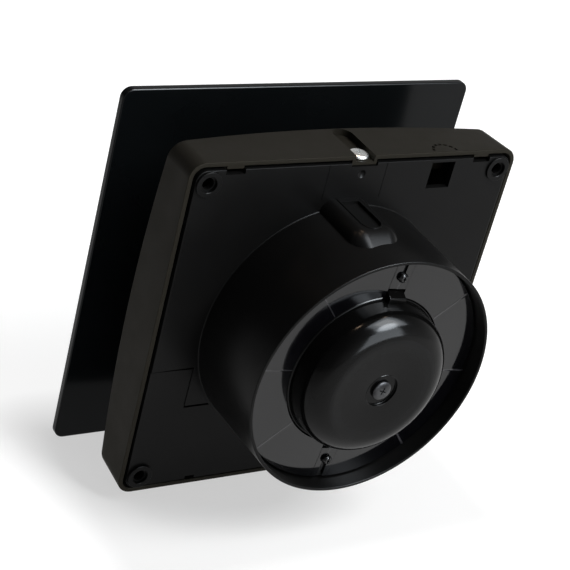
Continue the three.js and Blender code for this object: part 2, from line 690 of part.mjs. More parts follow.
// The bracket that holds the rear bearing and takes the cap's screw.
function rearBracket() {
  const hubTop = REAR_BEARING_Y + BEARING_WIDTH + 2.6;
  const rest = STATOR_REAR_Y + GAP;
  let bracket = turned([
    [SEAT_RADIUS, REAR_BEARING_Y - GAP], [SEAT_RADIUS + 1.8, REAR_BEARING_Y - GAP],
    [SEAT_RADIUS + 1.8, BRACKET_Y], [BRACKET_RADIUS - 1.4, BRACKET_Y], [BRACKET_RADIUS - 1.4, rest],
    [BRACKET_RADIUS, rest], [BRACKET_RADIUS, BRACKET_Y + 1.6], [SEAT_RADIUS + 1.8, BRACKET_Y + 1.6],
    [SEAT_RADIUS + 1.8, hubTop - 1], [4, hubTop], [4, 39.8], [1.7, 39.8], [1.7, hubTop - 0.8],
    [0, hubTop - 0.8], [0, REAR_BEARING_Y + BEARING_WIDTH + GAP],
    [SEAT_RADIUS, REAR_BEARING_Y + BEARING_WIDTH + GAP], [SEAT_RADIUS, REAR_BEARING_Y - GAP],
  ], 24);
  for (let i = 0; i < 4; i += 1) {
    const window = block(11.5, 19.5, BRACKET_Y - 1, BRACKET_Y + 3, -5, 5);
    bracket = cut(bracket, turnTo(window, (i + 0.5) * Math.PI / 2));
  }
  for (const angle of TIE_ANGLES) {
    const place = polar(TIE_RADIUS, angle);
    bracket = join(bracket, disc(2.8, rest, BRACKET_Y + 1.6, SMALL_SIDES).translate(place));
    bracket = cut(bracket, disc(1.6, 20, 40, SMALL_SIDES).translate(place));
  }
  return bracket;
}

add('rear_bracket', rearBracket(), materials.steel);

TIE_ANGLES.forEach((angle, i) => {
  const screw = add(`tie_screw_${i + 1}`, panHeadScrew(2.7, 1.5, 1.25, 22), materials.steel);
  screw.position.set(...polar(TIE_RADIUS, angle, BRACKET_Y + 1.6 + GAP));
});

// ---------- Impeller ----------

const IMPELLER_FRONT_Y = -17;
const IMPELLER_REAR_Y = 6;

// One twisted blade, steeper at the hub than at the tip.
function blade() {
  const span = BLADE_TIP - HUB_RADIUS + 1.5;
  const geometry = new THREE.BoxGeometry(span, 1.5, 24, 4, 1, 3);
  return solid(remap(geometry, (point) => {
    const reach = point.x / span + 0.5;
    const chord = point.z * (1 + 0.15 * reach);
    const pitch = THREE.MathUtils.degToRad(52 - 24 * reach);
    const camber = 2.2 * (1 - (point.z / 12) ** 2);
    const radius = HUB_RADIUS - 1.5 + reach * span;
    const across = chord * Math.cos(pitch) - (camber + point.y) * Math.sin(pitch);
    const along = chord * Math.sin(pitch) + (camber + point.y) * Math.cos(pitch);
    const angle = across / Math.max(radius, HUB_RADIUS);
    point.set(radius * Math.cos(angle), along * 0.78 - 5.6, radius * Math.sin(angle));
  }));
}

function impeller() {
  const hub = turned([
    [SHAFT_RADIUS + GAP, IMPELLER_FRONT_Y], [HUB_RADIUS - 5, IMPELLER_FRONT_Y],
    [HUB_RADIUS - 1.4, IMPELLER_FRONT_Y + 1.5], [HUB_RADIUS, IMPELLER_FRONT_Y + 5],
    [HUB_RADIUS, IMPELLER_REAR_Y], [HUB_RADIUS - 1.6, IMPELLER_REAR_Y],
    [HUB_RADIUS - 1.6, IMPELLER_FRONT_Y + 4.5], [6, IMPELLER_FRONT_Y + 2.5],
    [5, IMPELLER_REAR_Y - 1], [SHAFT_RADIUS + GAP, IMPELLER_REAR_Y - 1],
    [SHAFT_RADIUS + GAP, IMPELLER_FRONT_Y],
  ], 28);
  const inside = disc(HUB_RADIUS - 1, IMPELLER_FRONT_Y + 3, 40, 28);
  const blades = [];
  for (let i = 0; i < BLADE_COUNT; i += 1) {
    blades.push(turnTo(blade(), i * 2 * Math.PI / BLADE_COUNT));
  }
  return join(hub, cut(join(...blades), inside));
}

add('impeller', impeller(), materials.impeller);

// The push-on cap that keeps the impeller on the shaft.
function impellerClip() {
  return turned([
    [0, SHAFT_FRONT_Y - 2], [3.4, SHAFT_FRONT_Y - 2], [4.4, SHAFT_FRONT_Y - 1],
    [4.4, IMPELLER_FRONT_Y - GAP], [SHAFT_RADIUS + GAP, IMPELLER_FRONT_Y - GAP],
    [SHAFT_RADIUS + GAP, SHAFT_FRONT_Y - GAP], [0, SHAFT_FRONT_Y - GAP],
  ], SMALL_SIDES);
}

add('impeller_clip', impellerClip(), materials.impeller);

// ---------- Backdraught shutter ----------

// Half of the film: a flap beside the fold line, drawn with the fold line along Z.
function shutterFlap(side) {
  const film = ring(FILM_HOLE, FILM_RADIUS, FILM_Y, FILM_Y + FILM_THICKNESS, DUCT_SIDES);
  const edge = STRIP_HALF + FOLD_GAP;
  const keep = side > 0 ? block(edge, 60, 20, 40, -60, 60) : block(-60, -edge, 20, 40, -60, 60);
  return turnTo(film.intersect(keep), POD_TWIST);
}

add('shutter_flap_left', shutterFlap(1), materials.film);
add('shutter_flap_right', shutterFlap(-1), materials.film);

// The fixed strip between the flaps, with a slit that lets it slip over its pin.
function shutterStrip(slitHalf) {
  const inner = CAP_CLIP_RADIUS + 0.6;
  const film = disc(FILM_RADIUS, FILM_Y, FILM_Y + FILM_THICKNESS, DUCT_SIDES);
  const strip = film.intersect(block(inner, 60, 20, 40, -STRIP_HALF, STRIP_HALF));
  const slit = block(PIN_RADIUS_AT, 60, 20, 40, -slitHalf, slitHalf);
  const hole = disc(1.75, 20, 40, SMALL_SIDES).translate([PIN_RADIUS_AT, 0, 0]);
  return cut(strip, slit, hole);
}

// A headed pin that stands on a vane and keeps the strip down.
function shutterPin() {
  const [foot, head] = [CARRIER_REAR_Y + GAP, FILM_Y + FILM_THICKNESS + GAP];
  return turned([
    [0, foot], [1.3, foot], [1.3, head], [1.9, head], [1.9, head + 0.8],
    [1.4, head + 1.4], [0.5, head + 1.4], [0.5, head + 0.6], [0, head + 0.6],
  ], SMALL_SIDES).translate([PIN_RADIUS_AT, 0, 0]);
}

[['top', 0, 0.8], ['bottom', Math.PI, 1.3]].forEach(([end, side, slitHalf]) => {
  add(`shutter_strip_${end}`, turnTo(shutterStrip(slitHalf), STRIP_ANGLE + side), materials.film);
  add(`shutter_pin_${end}`, turnTo(shutterPin(), STRIP_ANGLE + side), materials.pod);
});

// ---------- Terminal block, cable clamp and leads ----------

const wiring = new THREE.Group();
wiring.position.set(-50.5, PLATE_FRONT_Y - GAP, 48);
fan.add(wiring);

const LEAD_RADIUS = 0.8;
const TERMINAL_PITCH = 7;
const TERMINAL_COUNT = 3;
const TERMINAL_HEIGHT = 11;

// The block lies along X in front of the plate; its screws face the room.
function terminalBlock() {
  const half = TERMINAL_COUNT * TERMINAL_PITCH / 2;
  let body = block(-half, half, -TERMINAL_HEIGHT, 0, -6, 0);
  for (let i = 0; i < TERMINAL_COUNT; i += 1) {
    const x = (i - 1) * TERMINAL_PITCH;
    const well = disc(2.2, -TERMINAL_HEIGHT - 1, -TERMINAL_HEIGHT + 5, SMALL_SIDES);
    body = cut(body, well.translate([x, 0, -3]), bar([x, -4, -8], [x, -4, 2], 1.5));
  }
  return body;
}

add('terminal_block', terminalBlock(), materials.terminal, wiring);

function terminalScrew() {
  const screw = disc(1.8, 0, 3.2, SMALL_SIDES);
  return cut(screw, block(-2, 2, -1, 0.8, -0.3, 0.3));
}

for (let i = 0; i < TERMINAL_COUNT; i += 1) {
  const screw = add(`terminal_screw_${i + 1}`, terminalScrew(), materials.steel, wiring);
  screw.position.set((i - 1) * TERMINAL_PITCH, -TERMINAL_HEIGHT + 1, -3);
}

// The clamp that grips the mains cable where it comes through the plate.
function cableClamp() {
  const [x0, x1] = CLAMP_POST_X;
  let clamp = block(x0 - 3.2, x1 + 3.2, CLAMP_Y - 2.6, CLAMP_Y, CLAMP_Z - 2.4, CLAMP_Z + 2.4);
  const middle = (x0 + x1) / 2;
  const saddle = bar([middle, CLAMP_Y + 3, CLAMP_Z - 5], [middle, CLAMP_Y + 3, CLAMP_Z + 5], 4.2, 20);
  clamp = cut(clamp, saddle);
  for (const x of CLAMP_POST_X) {
    const hole = disc(1.7, CLAMP_Y - 5, CLAMP_Y + 5, SMALL_SIDES).translate([x, 0, CLAMP_Z]);
    clamp = cut(clamp, hole);
  }
  return clamp;
}

add('cable_clamp', cableClamp(), materials.casing);

CLAMP_POST_X.forEach((x, i) => {
  const screw = add(`clamp_screw_${i + 1}`, panHeadScrew(2.6, 1.6, 1.3, 8), materials.steel);
  screw.rotation.x = Math.PI;
  screw.position.set(x, CLAMP_Y - 2.6 - GAP, CLAMP_Z);
});

// A motor lead, from its terminal over the shroud, down the hood's channel and into the cup.
function motorLead(terminalX, runZ, channelX, cupX) {
  const [terminalY, runY, cupY] = [-7.5, -6, 14.4];
  const route = new THREE.CatmullRomCurve3([
    [terminalX, terminalY, 45.5], [terminalX, terminalY, 48.5], [terminalX + 1.2, terminalY, runZ - 1],
    [terminalX + 4, runY, runZ], [-30, runY, runZ], [-12, runY, runZ], [channelX - 4, runY, runZ],
    [channelX - 0.8, runY + 0.1, runZ - 0.3], [channelX, runY + 0.9, 49.2], [channelX, runY + 3, 49],
    [channelX, 4, 48.9], [channelX, cupY - 3.5, 48.8], [channelX, cupY - 0.8, 47.9],
    [channelX, cupY, 45], [cupX, cupY, 34], [cupX, cupY, 27], [cupX, cupY, 21],
  ].map((point) => new THREE.Vector3(...point)), false, 'centripetal');
  const section = new THREE.Shape();
  section.absarc(0, 0, LEAD_RADIUS, 0, Math.PI * 2);
  return new THREE.ExtrudeGeometry(section, {
    steps: 30, curveSegments: 3, extrudePath: route, bevelEnabled: false,
  });
}

add('lead_live', motorLead(-50.5, 51.6, 4.8, 4), materials.liveLead);
add('lead_neutral', motorLead(-43.5, 49.6, 2.2, 1.4), materials.neutralLead);

export default fan;
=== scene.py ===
"""Looks of a bathroom extractor fan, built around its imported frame. Shapes are in millimetres."""

import math

import bmesh
import bpy
from mathutils import Matrix, Vector


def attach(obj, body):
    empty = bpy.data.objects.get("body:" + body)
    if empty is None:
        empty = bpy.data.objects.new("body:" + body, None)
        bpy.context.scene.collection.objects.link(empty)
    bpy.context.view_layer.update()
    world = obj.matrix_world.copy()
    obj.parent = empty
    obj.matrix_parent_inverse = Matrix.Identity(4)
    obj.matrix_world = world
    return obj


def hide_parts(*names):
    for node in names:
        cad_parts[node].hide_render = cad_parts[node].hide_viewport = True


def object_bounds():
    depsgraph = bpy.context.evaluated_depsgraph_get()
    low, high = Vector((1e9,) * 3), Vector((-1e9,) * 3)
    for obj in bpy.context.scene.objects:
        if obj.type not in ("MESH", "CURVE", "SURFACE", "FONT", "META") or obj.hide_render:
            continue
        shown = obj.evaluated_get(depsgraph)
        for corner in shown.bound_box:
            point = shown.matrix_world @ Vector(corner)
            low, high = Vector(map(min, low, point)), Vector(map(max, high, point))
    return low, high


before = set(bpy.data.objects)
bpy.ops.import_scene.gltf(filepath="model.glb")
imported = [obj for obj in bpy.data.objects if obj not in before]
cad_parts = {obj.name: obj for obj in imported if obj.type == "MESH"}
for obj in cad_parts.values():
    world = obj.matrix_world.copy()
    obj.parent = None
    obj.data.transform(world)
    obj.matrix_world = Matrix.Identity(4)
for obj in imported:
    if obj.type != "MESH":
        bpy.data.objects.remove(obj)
CAD_BOX = [list(corner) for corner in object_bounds()]

MM = 0.001

# ---------- Dimensions shared by several pieces ----------

PLATE_REAR_Y = -0.8
PLATE_FRONT_Y = -3.2
PLATE_HALF = 66.8
PLATE_CORNER = 4
FIXING_HALF_PITCH = 61.7
SET_BACK_X = 49.6
SET_BACK_TOP_Z = -15
SET_BACK_LEFT_Z = -32
COVER_HALF = 69.5
COVER_CORNER = 6
COVER_WALL = 1.8
COVER_REAR_Y = -1.5
COVER_CORNER_Y = -19
COVER_DOME = 3.65
COVER_PINCH = 0.012
GUARD_SLOTS = ((15, 22), (25, 32), (35, 42))
SPOKES = 8
SPOKE_HALF = 1.5
PANEL_HALF = 75
PANEL_CORNER = 4
PANEL_REAR_Y = -44.8
PANEL_FRONT_Y = -47.8
SLOT_X = -0.75
SLOT_HALF = 4.05
SLOT_FRONT_Y = -21.5
SLOT_FLOOR_Z = 67
COVER_SCREW_Y = -6
HOOK_X = (-53, 52)
STUD_HALF_PITCH = 36
HOOD_X = 3.5
HOOD_HALF = 10
HOOD_TOP_Z = 52.8
HOOD_REAR_Y = 23.5
HOOD_END = ((19.4, 0.08), (20.6, 0.35), (21.8, 0.85), (23, 1.6), (24.2, 2.5), (25.4, 3.5), (26.4, 4.4))
CLAMP_X = (-46, -26)
CLAMP_Y = -10
CLAMP_Z = 60
SPIGOT_BORE = 48
SPIGOT_REAR_Y = 37.3
CARRIER_RADIUS = 47.7
CARRIER_REAR_Y = 30.2
CARRIER_FRONT_Y = 9
CUP_RADIUS = 28.4
TIE_X = 23.4
FILM_Y = 30.7
FILM_THICKNESS = 0.4
FILM_RADIUS = 47.3
FILM_HOLE = 31.3
FILM_EDGE = 3.93
STRIP_HALF = 3.85
PIN_RADIUS_AT = 39.3
CAP_RECESS_FLOOR_Y = 43
CAP_SHOULDER_AT = (20, 36.5)
CAP_SHOULDER_REACH = (9.6, 8)
CLIP_HALF = 3.6
POD_TWIST = 7
FOLD_ANGLE = 90 + POD_TWIST
GAP = 0.3

CORNERS = ((1, 1), (-1, 1), (-1, -1), (1, -1))

# ---------- Mesh helpers ----------


def make(name, verts, faces):
    """A new object from points in millimetres, its faces turned outwards."""
    mesh = bpy.data.meshes.new(name)
    mesh.from_pydata([(x * MM, y * MM, z * MM) for x, y, z in verts], [], faces)
    obj = bpy.data.objects.new(name, mesh)
    bpy.context.scene.collection.objects.link(obj)
    face_out(obj)
    return obj


def face_out(obj):
    work = bmesh.new()
    work.from_mesh(obj.data)
    bmesh.ops.recalc_face_normals(work, faces=work.faces)
    work.to_mesh(obj.data)
    work.free()


def arc(cx, cy, radius, start, end, steps):
    """Points along an arc, in degrees."""
    points = []
    for i in range(steps + 1):
        angle = math.radians(start + (end - start) * i / steps)
        points.append((cx + radius * math.cos(angle), cy + radius * math.sin(angle)))
    return points


def rounded(corners, steps=4):
    """A closed outline from corners given as (a, b, corner radius)."""
    outline = []
    for i, (a, b, radius) in enumerate(corners):
        here = Vector((a, b))
        if radius <= 0:
            outline.append((a, b))
            continue
        back = Vector(corners[i - 1][:2]) - here
        ahead = Vector(corners[(i + 1) % len(corners)][:2]) - here
        half = back.angle(ahead) / 2
        reach = min(radius / math.tan(half), back.length * 0.49, ahead.length * 0.49)
        radius = reach * math.tan(half)
        centre = here + (back.normalized() + ahead.normalized()).normalized() * (radius / math.sin(half))
        first = here + back.normalized() * reach - centre
        last = here + ahead.normalized() * reach - centre
        start = math.degrees(math.atan2(first.y, first.x))
        sweep = (math.degrees(math.atan2(last.y, last.x)) - start + 180) % 360 - 180
        outline += arc(centre.x, centre.y, radius, start, start + sweep, steps)
    return outline


def loft(name, loops, ring=False):
    """One skin through closed loops of points. A loop of one point is a pole."""
    verts, starts = [], []
    for loop in loops:
        starts.append(len(verts))
        verts += loop
    faces = []
    pairs = list(zip(range(len(loops)), range(1, len(loops))))
    if ring:
        pairs.append((len(loops) - 1, 0))
    for i, j in pairs:
        a, b, n, m = starts[i], starts[j], len(loops[i]), len(loops[j])
        for k in range(max(n, m)):
            k2 = (k + 1) % max(n, m)
            if n == 1:
                faces.append((a, b + k, b + k2))
            elif m == 1:
                faces.append((a + k, b, a + k2))
            else:
                faces.append((a + k, b + k, b + k2, a + k2))
    if not ring:
        for start, loop in ((starts[0], loops[0]), (starts[-1], loops[-1])):
            if len(loop) > 1:
                faces.append(tuple(range(start, start + len(loop))))
    return make(name, verts, faces)


def lathe(name, profile, sides=128):
    """Turns a closed profile of (radius, y) about the Y axis."""
    loops = []
    for radius, y in profile:
        if radius < 1e-6:
            loops.append([(0, y, 0)])
        else:
            loops.append([(radius * math.cos(t), y, radius * math.sin(t)) for t in circle(sides)])
    closed = len(loops[0]) > 1
    return loft(name, loops, ring=closed)


def circle(sides):
    return [2 * math.pi * i / sides for i in range(sides)]


def prism(name, outline, low, high, axis="Y"):
    """An outline pushed along an axis. Along Y it is drawn in X and Z, along Z in X and Y."""
    if axis == "Y":
        loops = [[(a, h, b) for a, b in outline] for h in (low, high)]
    else:
        loops = [[(a, b, h) for a, b in outline] for h in (low, high)]
    return loft(name, loops)


def block(name, x0, x1, y0, y1, z0, z1, radius=0.0):
    """A box, with its edges rounded if a radius is given."""
    obj = prism(name, [(x0, z0), (x1, z0), (x1, z1), (x0, z1)], y0, y1)
    if radius:
        soften(obj, radius, 3)
    return obj


def rod(name, start, end, radius, sides=24):
    """A round bar between two points."""
    a, b = Vector(start), Vector(end)
    spin = (b - a).to_track_quat("Y", "Z").to_matrix().to_4x4()
    obj = lathe(name, [(0, 0), (radius, 0), (radius, (b - a).length), (0, (b - a).length)], sides)
    return move(obj, Matrix.Translation(a * MM) @ spin)


def move(obj, matrix):
    obj.data.transform(matrix)
    return obj


def shift(obj, x=0.0, y=0.0, z=0.0):
    return move(obj, Matrix.Translation(Vector((x, y, z)) * MM))


def turn(obj, degrees):
    """Turns a piece about the duct axis, from +X towards +Z."""
    return move(obj, Matrix.Rotation(-math.radians(degrees), 4, "Y"))


def settle(obj):
    """Applies an object's modifiers to its mesh."""
    bpy.context.view_layer.update()
    graph = bpy.context.evaluated_depsgraph_get()
    mesh = bpy.data.meshes.new_from_object(obj.evaluated_get(graph))
    obj.modifiers.clear()
    obj.data = mesh
    return obj


def combine(target, tools, operation):
    for tool in tools:
        modifier = target.modifiers.new(operation, "BOOLEAN")
        modifier.operation = operation
        modifier.solver = "EXACT"
        modifier.object = tool
    settle(target)
    for tool in tools:
        bpy.data.objects.remove(tool, do_unlink=True)
    return target


def unite(target, *tools):
    return combine(target, tools, "UNION")


def carve(target, *tools):
    return combine(target, tools, "DIFFERENCE")


def soften(obj, width, segments=2, angle=40):
    """Rounds the edges that are sharper than an angle."""
    modifier = obj.modifiers.new("soften", "BEVEL")
    modifier.width = width * MM
    modifier.segments = segments
    modifier.limit_method = "ANGLE"
    modifier.angle_limit = math.radians(angle)
    modifier.use_clamp_overlap = True
    return settle(obj)


def merge(name, pieces):
    """Puts several separate solids into one object."""
    work = bmesh.new()
    for piece in pieces:
        work.from_mesh(piece.data)
        bpy.data.objects.remove(piece, do_unlink=True)
    mesh = bpy.data.meshes.new(name)
    work.to_mesh(mesh)
    work.free()
    obj = bpy.data.objects.new(name, mesh)
    bpy.context.scene.collection.objects.link(obj)
    return obj


def tidy(obj, angle=35):
    """Drops slivers left by the cuts, then shades smooth, apart from edges over an angle."""
    work = bmesh.new()
    work.from_mesh(obj.data)
    bmesh.ops.remove_doubles(work, verts=work.verts, dist=2e-6)
    bmesh.ops.dissolve_degenerate(work, edges=work.edges, dist=1e-6)
    limit = math.radians(angle)
    for face in work.faces:
        face.smooth = True
    for edge in work.edges:
        edge.smooth = len(edge.link_faces) == 2 and edge.calc_face_angle(math.pi) < limit
    work.to_mesh(obj.data)
    work.free()
    modifier = obj.modifiers.new("even shading", "WEIGHTED_NORMAL")
    modifier.keep_sharp = True
    return obj


def finish_piece(obj, body, slot, material, *nodes, angle=35):
    """Shades a piece, gives it its material and says what it stands for."""
    tidy(obj, angle)
    obj.data.materials.clear()
    obj.data.materials.append(material)
    for polygon in obj.data.polygons:
        polygon.material_index = 0
    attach(obj, body)
    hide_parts(*nodes)
    return obj


# ---------- Materials ----------


class Shader:
    """A material's node tree, built a node at a time."""

    def __init__(self, name):
        self.material = bpy.data.materials.new(name)
        self.material.use_nodes = True
        self.tree = self.material.node_tree
        self.surface = self.tree.nodes["Principled BSDF"]
        self.coords = self.tree.nodes.new("ShaderNodeTexCoord").outputs["Object"]

    def node(self, kind, links=None, values=None, **settings):
        node = self.tree.nodes.new(kind)
        for key, value in settings.items():
            setattr(node, key, value)
        for key, value in (values or {}).items():
            node.inputs[key].default_value = value
        for key, socket in (links or {}).items():
            self.tree.links.new(socket, node.inputs[key])
        return node

    def calc(self, operation, links, values=None):
        return self.node("ShaderNodeMath", links, values, operation=operation).outputs[0]

    def noise(self, scale, detail=3.0, roughness=0.55, stretch=None):
        vector = self.coords
        if stretch:
            vector = self.node("ShaderNodeMapping", {"Vector": vector}, {"Scale": stretch}).outputs["Vector"]
        values = {"Scale": scale, "Detail": detail, "Roughness": roughness}
        return self.node("ShaderNodeTexNoise", {"Vector": vector}, values).outputs["Fac"]

    def spread(self, socket, low, high, from_low=0.3, from_high=0.7):
        values = {"From Min": from_low, "From Max": from_high, "To Min": low, "To Max": high}
        return self.node("ShaderNodeMapRange", {"Value": socket}, values).outputs["Result"]

    def blend(self, factor, first, second):
        """Mixes two colours, each a colour or a socket."""
        node = self.node("ShaderNodeMix", data_type="RGBA")
        self.tree.links.new(factor, node.inputs[0])
        for index, colour in ((6, first), (7, second)):
            if isinstance(colour, tuple):
                node.inputs[index].default_value = (*colour, 1.0)
            else:
                self.tree.links.new(colour, node.inputs[index])
        return node.outputs[2]

    def bump(self, socket, depth, strength=1.0, under=None):
        links = {"Height": socket}
        if under:
            links["Normal"] = under
        values = {"Distance": depth, "Strength": strength}
        return self.node("ShaderNodeBump", links, values).outputs["Normal"]

    def plug(self, links=None, **values):
        names = {"roughness": "Roughness", "metallic": "Metallic", "specular": "Specular IOR Level",
                 "ior": "IOR", "coat": "Coat Weight", "coat_roughness": "Coat Roughness",
                 "anisotropic": "Anisotropic", "sheen": "Sheen Weight"}
        for key, value in values.items():
            self.surface.inputs[names[key]].default_value = value
        for key, socket in (links or {}).items():
            self.tree.links.new(socket, self.surface.inputs[key])
        return self.material


def moulded(name, dark, light, rough, specular, depth=0.00001, satin_face=0.0, tint=(1, 1, 1, 1)):
    """Black moulded plastic: faint flow marks, a fine grain and a few rubbed, shinier patches."""
    shader = Shader(name)
    flow = shader.noise(38, 4.0, stretch=(1.0, 0.35, 1.0))
    colour = shader.blend(shader.spread(flow, 0, 1), dark, light)
    rubbed = shader.noise(120, 5.0, 0.6)
    roughness = shader.spread(rubbed, rough[0], rough[1], 0.32, 0.68)
    fine = shader.noise(2600, 2.0, 0.5)
    wave = shader.noise(22, 2.0)
    normal = shader.bump(fine, depth, under=shader.bump(wave, depth * 8, 0.5))
    if satin_face:
        height = shader.node("ShaderNodeSeparateXYZ", {0: shader.coords}).outputs["Y"]
        mask = shader.spread(height, 0, 1, 0.04425, 0.04445)
        added = shader.calc("MULTIPLY", {0: mask}, {1: satin_face})
        roughness = shader.calc("ADD", {0: roughness, 1: added})
    shader.surface.inputs["Specular Tint"].default_value = tint
    links = {"Base Color": colour, "Roughness": roughness, "Normal": normal}
    return shader.plug(links, specular=specular)


def metal(name, colour, darker, rough, brush=(1.0, 1.0, 1.0), scale=900.0):
    """Plated or cut metal: fine tool marks, uneven polish and slightly dulled patches."""
    shader = Shader(name)
    dulled = shader.noise(260, 4.0)
    marks = shader.noise(scale, 3.0, stretch=brush)
    links = {
        "Base Color": shader.blend(shader.spread(dulled, 0, 1), colour, darker),
        "Roughness": shader.spread(marks, rough[0], rough[1]),
        "Normal": shader.bump(marks, 0.000006),
    }
    return shader.plug(links, metallic=1.0)


COVER_PLASTIC = moulded("cover_plastic", (0.0155, 0.0141, 0.011), (0.0175, 0.016, 0.0128), (0.4, 0.5), 0.03,
                        tint=(1, 0.94, 0.8, 1))
PLATE_PLASTIC = moulded("plate_plastic", (0.004, 0.004, 0.004), (0.005, 0.005, 0.005), (0.285, 0.32), 0.055,
                        depth=0.000004)
POD_PLASTIC = moulded("pod_plastic", (0.0022, 0.0022, 0.0022), (0.003, 0.003, 0.003), (0.12, 0.16), 0.085,
                      depth=0.000002, satin_face=0.22)
FAN_PLASTIC = moulded("fan_plastic", (0.004, 0.004, 0.0042), (0.006, 0.006, 0.0062), (0.25, 0.36), 0.25)
ZINC = metal("zinc", (0.82, 0.82, 0.8), (0.6, 0.62, 0.62), (0.2, 0.38), scale=2600.0)
STEEL = metal("steel", (0.42, 0.42, 0.43), (0.28, 0.28, 0.285), (0.24, 0.42), scale=2200.0)
# Steel darkened as painted shade: the cap screw in its recess shows only the dark surroundings it reflects.
SHADED_STEEL = metal("shaded_steel", (0.05, 0.05, 0.051), (0.015, 0.015, 0.016), (0.3, 0.5), scale=2200.0)
LAMINATIONS = metal("laminations", (0.3, 0.3, 0.31), (0.2, 0.2, 0.2), (0.35, 0.55), (0.05, 1.0, 0.05), 1500.0)


def panel_material():
    """Polished black sheet with the faintest haze and a few hairline marks."""
    shader = Shader("panel_sheet")
    haze = shader.noise(30, 4.0)
    scratches = shader.noise(700, 2.0, stretch=(1.0, 1.0, 0.04))
    dark, light = (0.0026, 0.0033, 0.0037), (0.0032, 0.004, 0.0045)
    links = {
        "Base Color": shader.blend(shader.spread(haze, 0, 1), dark, light),
        "Roughness": shader.spread(haze, 0.14, 0.2),
        "Normal": shader.bump(scratches, 0.0000012),
    }
    return shader.plug(links, specular=0.1)


def film_material():
    """Smooth, glossy dark film with the softest ripple, and a painted highlight along each line where it
    bends over a vane.
    """
    shader = Shader("shutter_film")
    ripple = shader.noise(55, 2.0)
    haze = shader.noise(160, 4.0)
    split = shader.node("ShaderNodeSeparateXYZ", {0: shader.coords}).outputs
    turned = shader.calc("ARCTAN2", {0: split["Z"], 1: split["X"]})
    shifted = shader.calc("SUBTRACT", {0: turned}, {1: math.radians(POD_TWIST)})
    bay = shader.calc("PINGPONG", {0: shifted}, {1: math.radians(22.5)})
    # Painted highlight: a pale line over each vane, stronger in some places than others, stands in for light
    # caught where the film bends.
    highlight_strength = shader.spread(shader.noise(70, 2.0), 0.15, 1)
    line = shader.spread(bay, 1, 0, 0.002, 0.012)
    crease_highlight = shader.calc("MULTIPLY", {0: line, 1: highlight_strength})
    dark = shader.blend(shader.spread(haze, 0, 1), (0.0012, 0.0012, 0.0017), (0.002, 0.002, 0.0026))
    links = {
        # The pale colour here is the painted highlight along the folds.
        "Base Color": shader.blend(crease_highlight, dark, (0.045, 0.045, 0.05)),
        "Roughness": shader.spread(haze, 0.05, 0.1),
        "Normal": shader.bump(ripple, 0.00002),
    }
    return shader.plug(links, specular=0.34)


def copper_material():
    """Varnished wire: fine turns, with a warm uneven varnish over them."""
    shader = Shader("coil_wire")
    varnish = shader.noise(200, 4.0)
    turns = shader.noise(2400, 1.0, stretch=(0.1, 0.1, 1.0))
    links = {
        "Base Color": shader.blend(shader.spread(varnish, 0, 1), (0.55, 0.2, 0.07), (0.36, 0.11, 0.04)),
        "Roughness": shader.spread(varnish, 0.22, 0.4),
        "Normal": shader.bump(turns, 0.00003),
    }
    return shader.plug(links, metallic=0.85)


def soft_plastic(name, colour, darker, rough):
    """Coloured insulation or nylon, a little uneven."""
    shader = Shader(name)
    patch = shader.noise(180, 4.0)
    links = {
        "Base Color": shader.blend(shader.spread(patch, 0, 1), colour, darker),
        "Roughness": shader.spread(patch, rough[0], rough[1]),
        "Normal": shader.bump(shader.noise(2200), 0.000008),
    }
    return shader.plug(links, specular=0.5)


PANEL_SHEET = panel_material()
FILM = film_material()
COPPER = copper_material()
NYLON = soft_plastic("nylon", (0.72, 0.7, 0.64), (0.62, 0.6, 0.53), (0.4, 0.55))
BROWN_LEAD = soft_plastic("brown_lead", (0.014, 0.006, 0.004), (0.01, 0.004, 0.003), (0.35, 0.5))
BLUE_LEAD = soft_plastic("blue_lead", (0.02, 0.06, 0.26), (0.014, 0.04, 0.18), (0.35, 0.5))

# ---------- Front panel and studs ----------


def square(half, corner, per_corner=8, per_side=1):
    """Points round a square with rounded corners, in X and Z."""
    points = []
    inner = half - corner
    for quarter, (sx, sz) in enumerate(CORNERS):
        bend = arc(sx * inner, sz * inner, corner, quarter * 90, quarter * 90 + 90, per_corner)
        points += bend
        ax, az = bend[-1]
        nx, nz = [(-1, 1), (-1, -1), (1, -1), (1, 1)][quarter]
        bx, bz = ((nx * inner, nz * half), (nx * half, nz * inner))[quarter % 2]
        for i in range(1, per_side):
            t = i / per_side
            points.append((ax + (bx - ax) * t, az + (bz - az) * t))
    return points


def front_panel():
    rim = 0.55
    bend = [(rim - rim * math.sin(t), rim - rim * math.cos(t)) for t in (0, 0.35, 0.75, 1.15, math.pi / 2)]
    levels = [(inset, PANEL_FRONT_Y + rise) for inset, rise in bend]
    levels += [(inset, PANEL_REAR_Y - rise) for inset, rise in reversed(bend)]
    loops = []
    for inset, y in levels:
        loops.append([(x, y, z) for x, z in square(PANEL_HALF - inset, PANEL_CORNER - inset, 10, 8)])
    return loft("front_panel", loops)


finish_piece(front_panel(), "housing", "panel", PANEL_SHEET, "front_panel")


def panel_stud(name):
    """A flanged peg with a split, barbed end."""
    low = PANEL_REAR_Y + GAP
    profile = rounded([
        (0, low, 0), (7, low, 0.3), (7, low + 1.5, 0.5), (4.2, low + 2.6, 1.2),
        (3.6, -34.5, 0.3), (4.1, -32.8, 0.5), (3.1, -30, 0.5), (0, -30, 0),
    ])
    stud = lathe(name, profile, 64)
    return carve(stud, block("split", -0.45, 0.45, -37, -29, -6, 6))


for number, (sx, sz) in enumerate(CORNERS, 1):
    stud = panel_stud(f"panel_stud_{number}")
    shift(stud, sx * STUD_HALF_PITCH, 0, sz * STUD_HALF_PITCH)
    finish_piece(stud, "housing", "casing", COVER_PLASTIC, f"panel_stud_{number}")

# ---------- Front cover ----------


def dome_y(x, z):
    return COVER_CORNER_Y - COVER_DOME * (2 - (x / COVER_HALF) ** 2 - (z / COVER_HALF) ** 2)


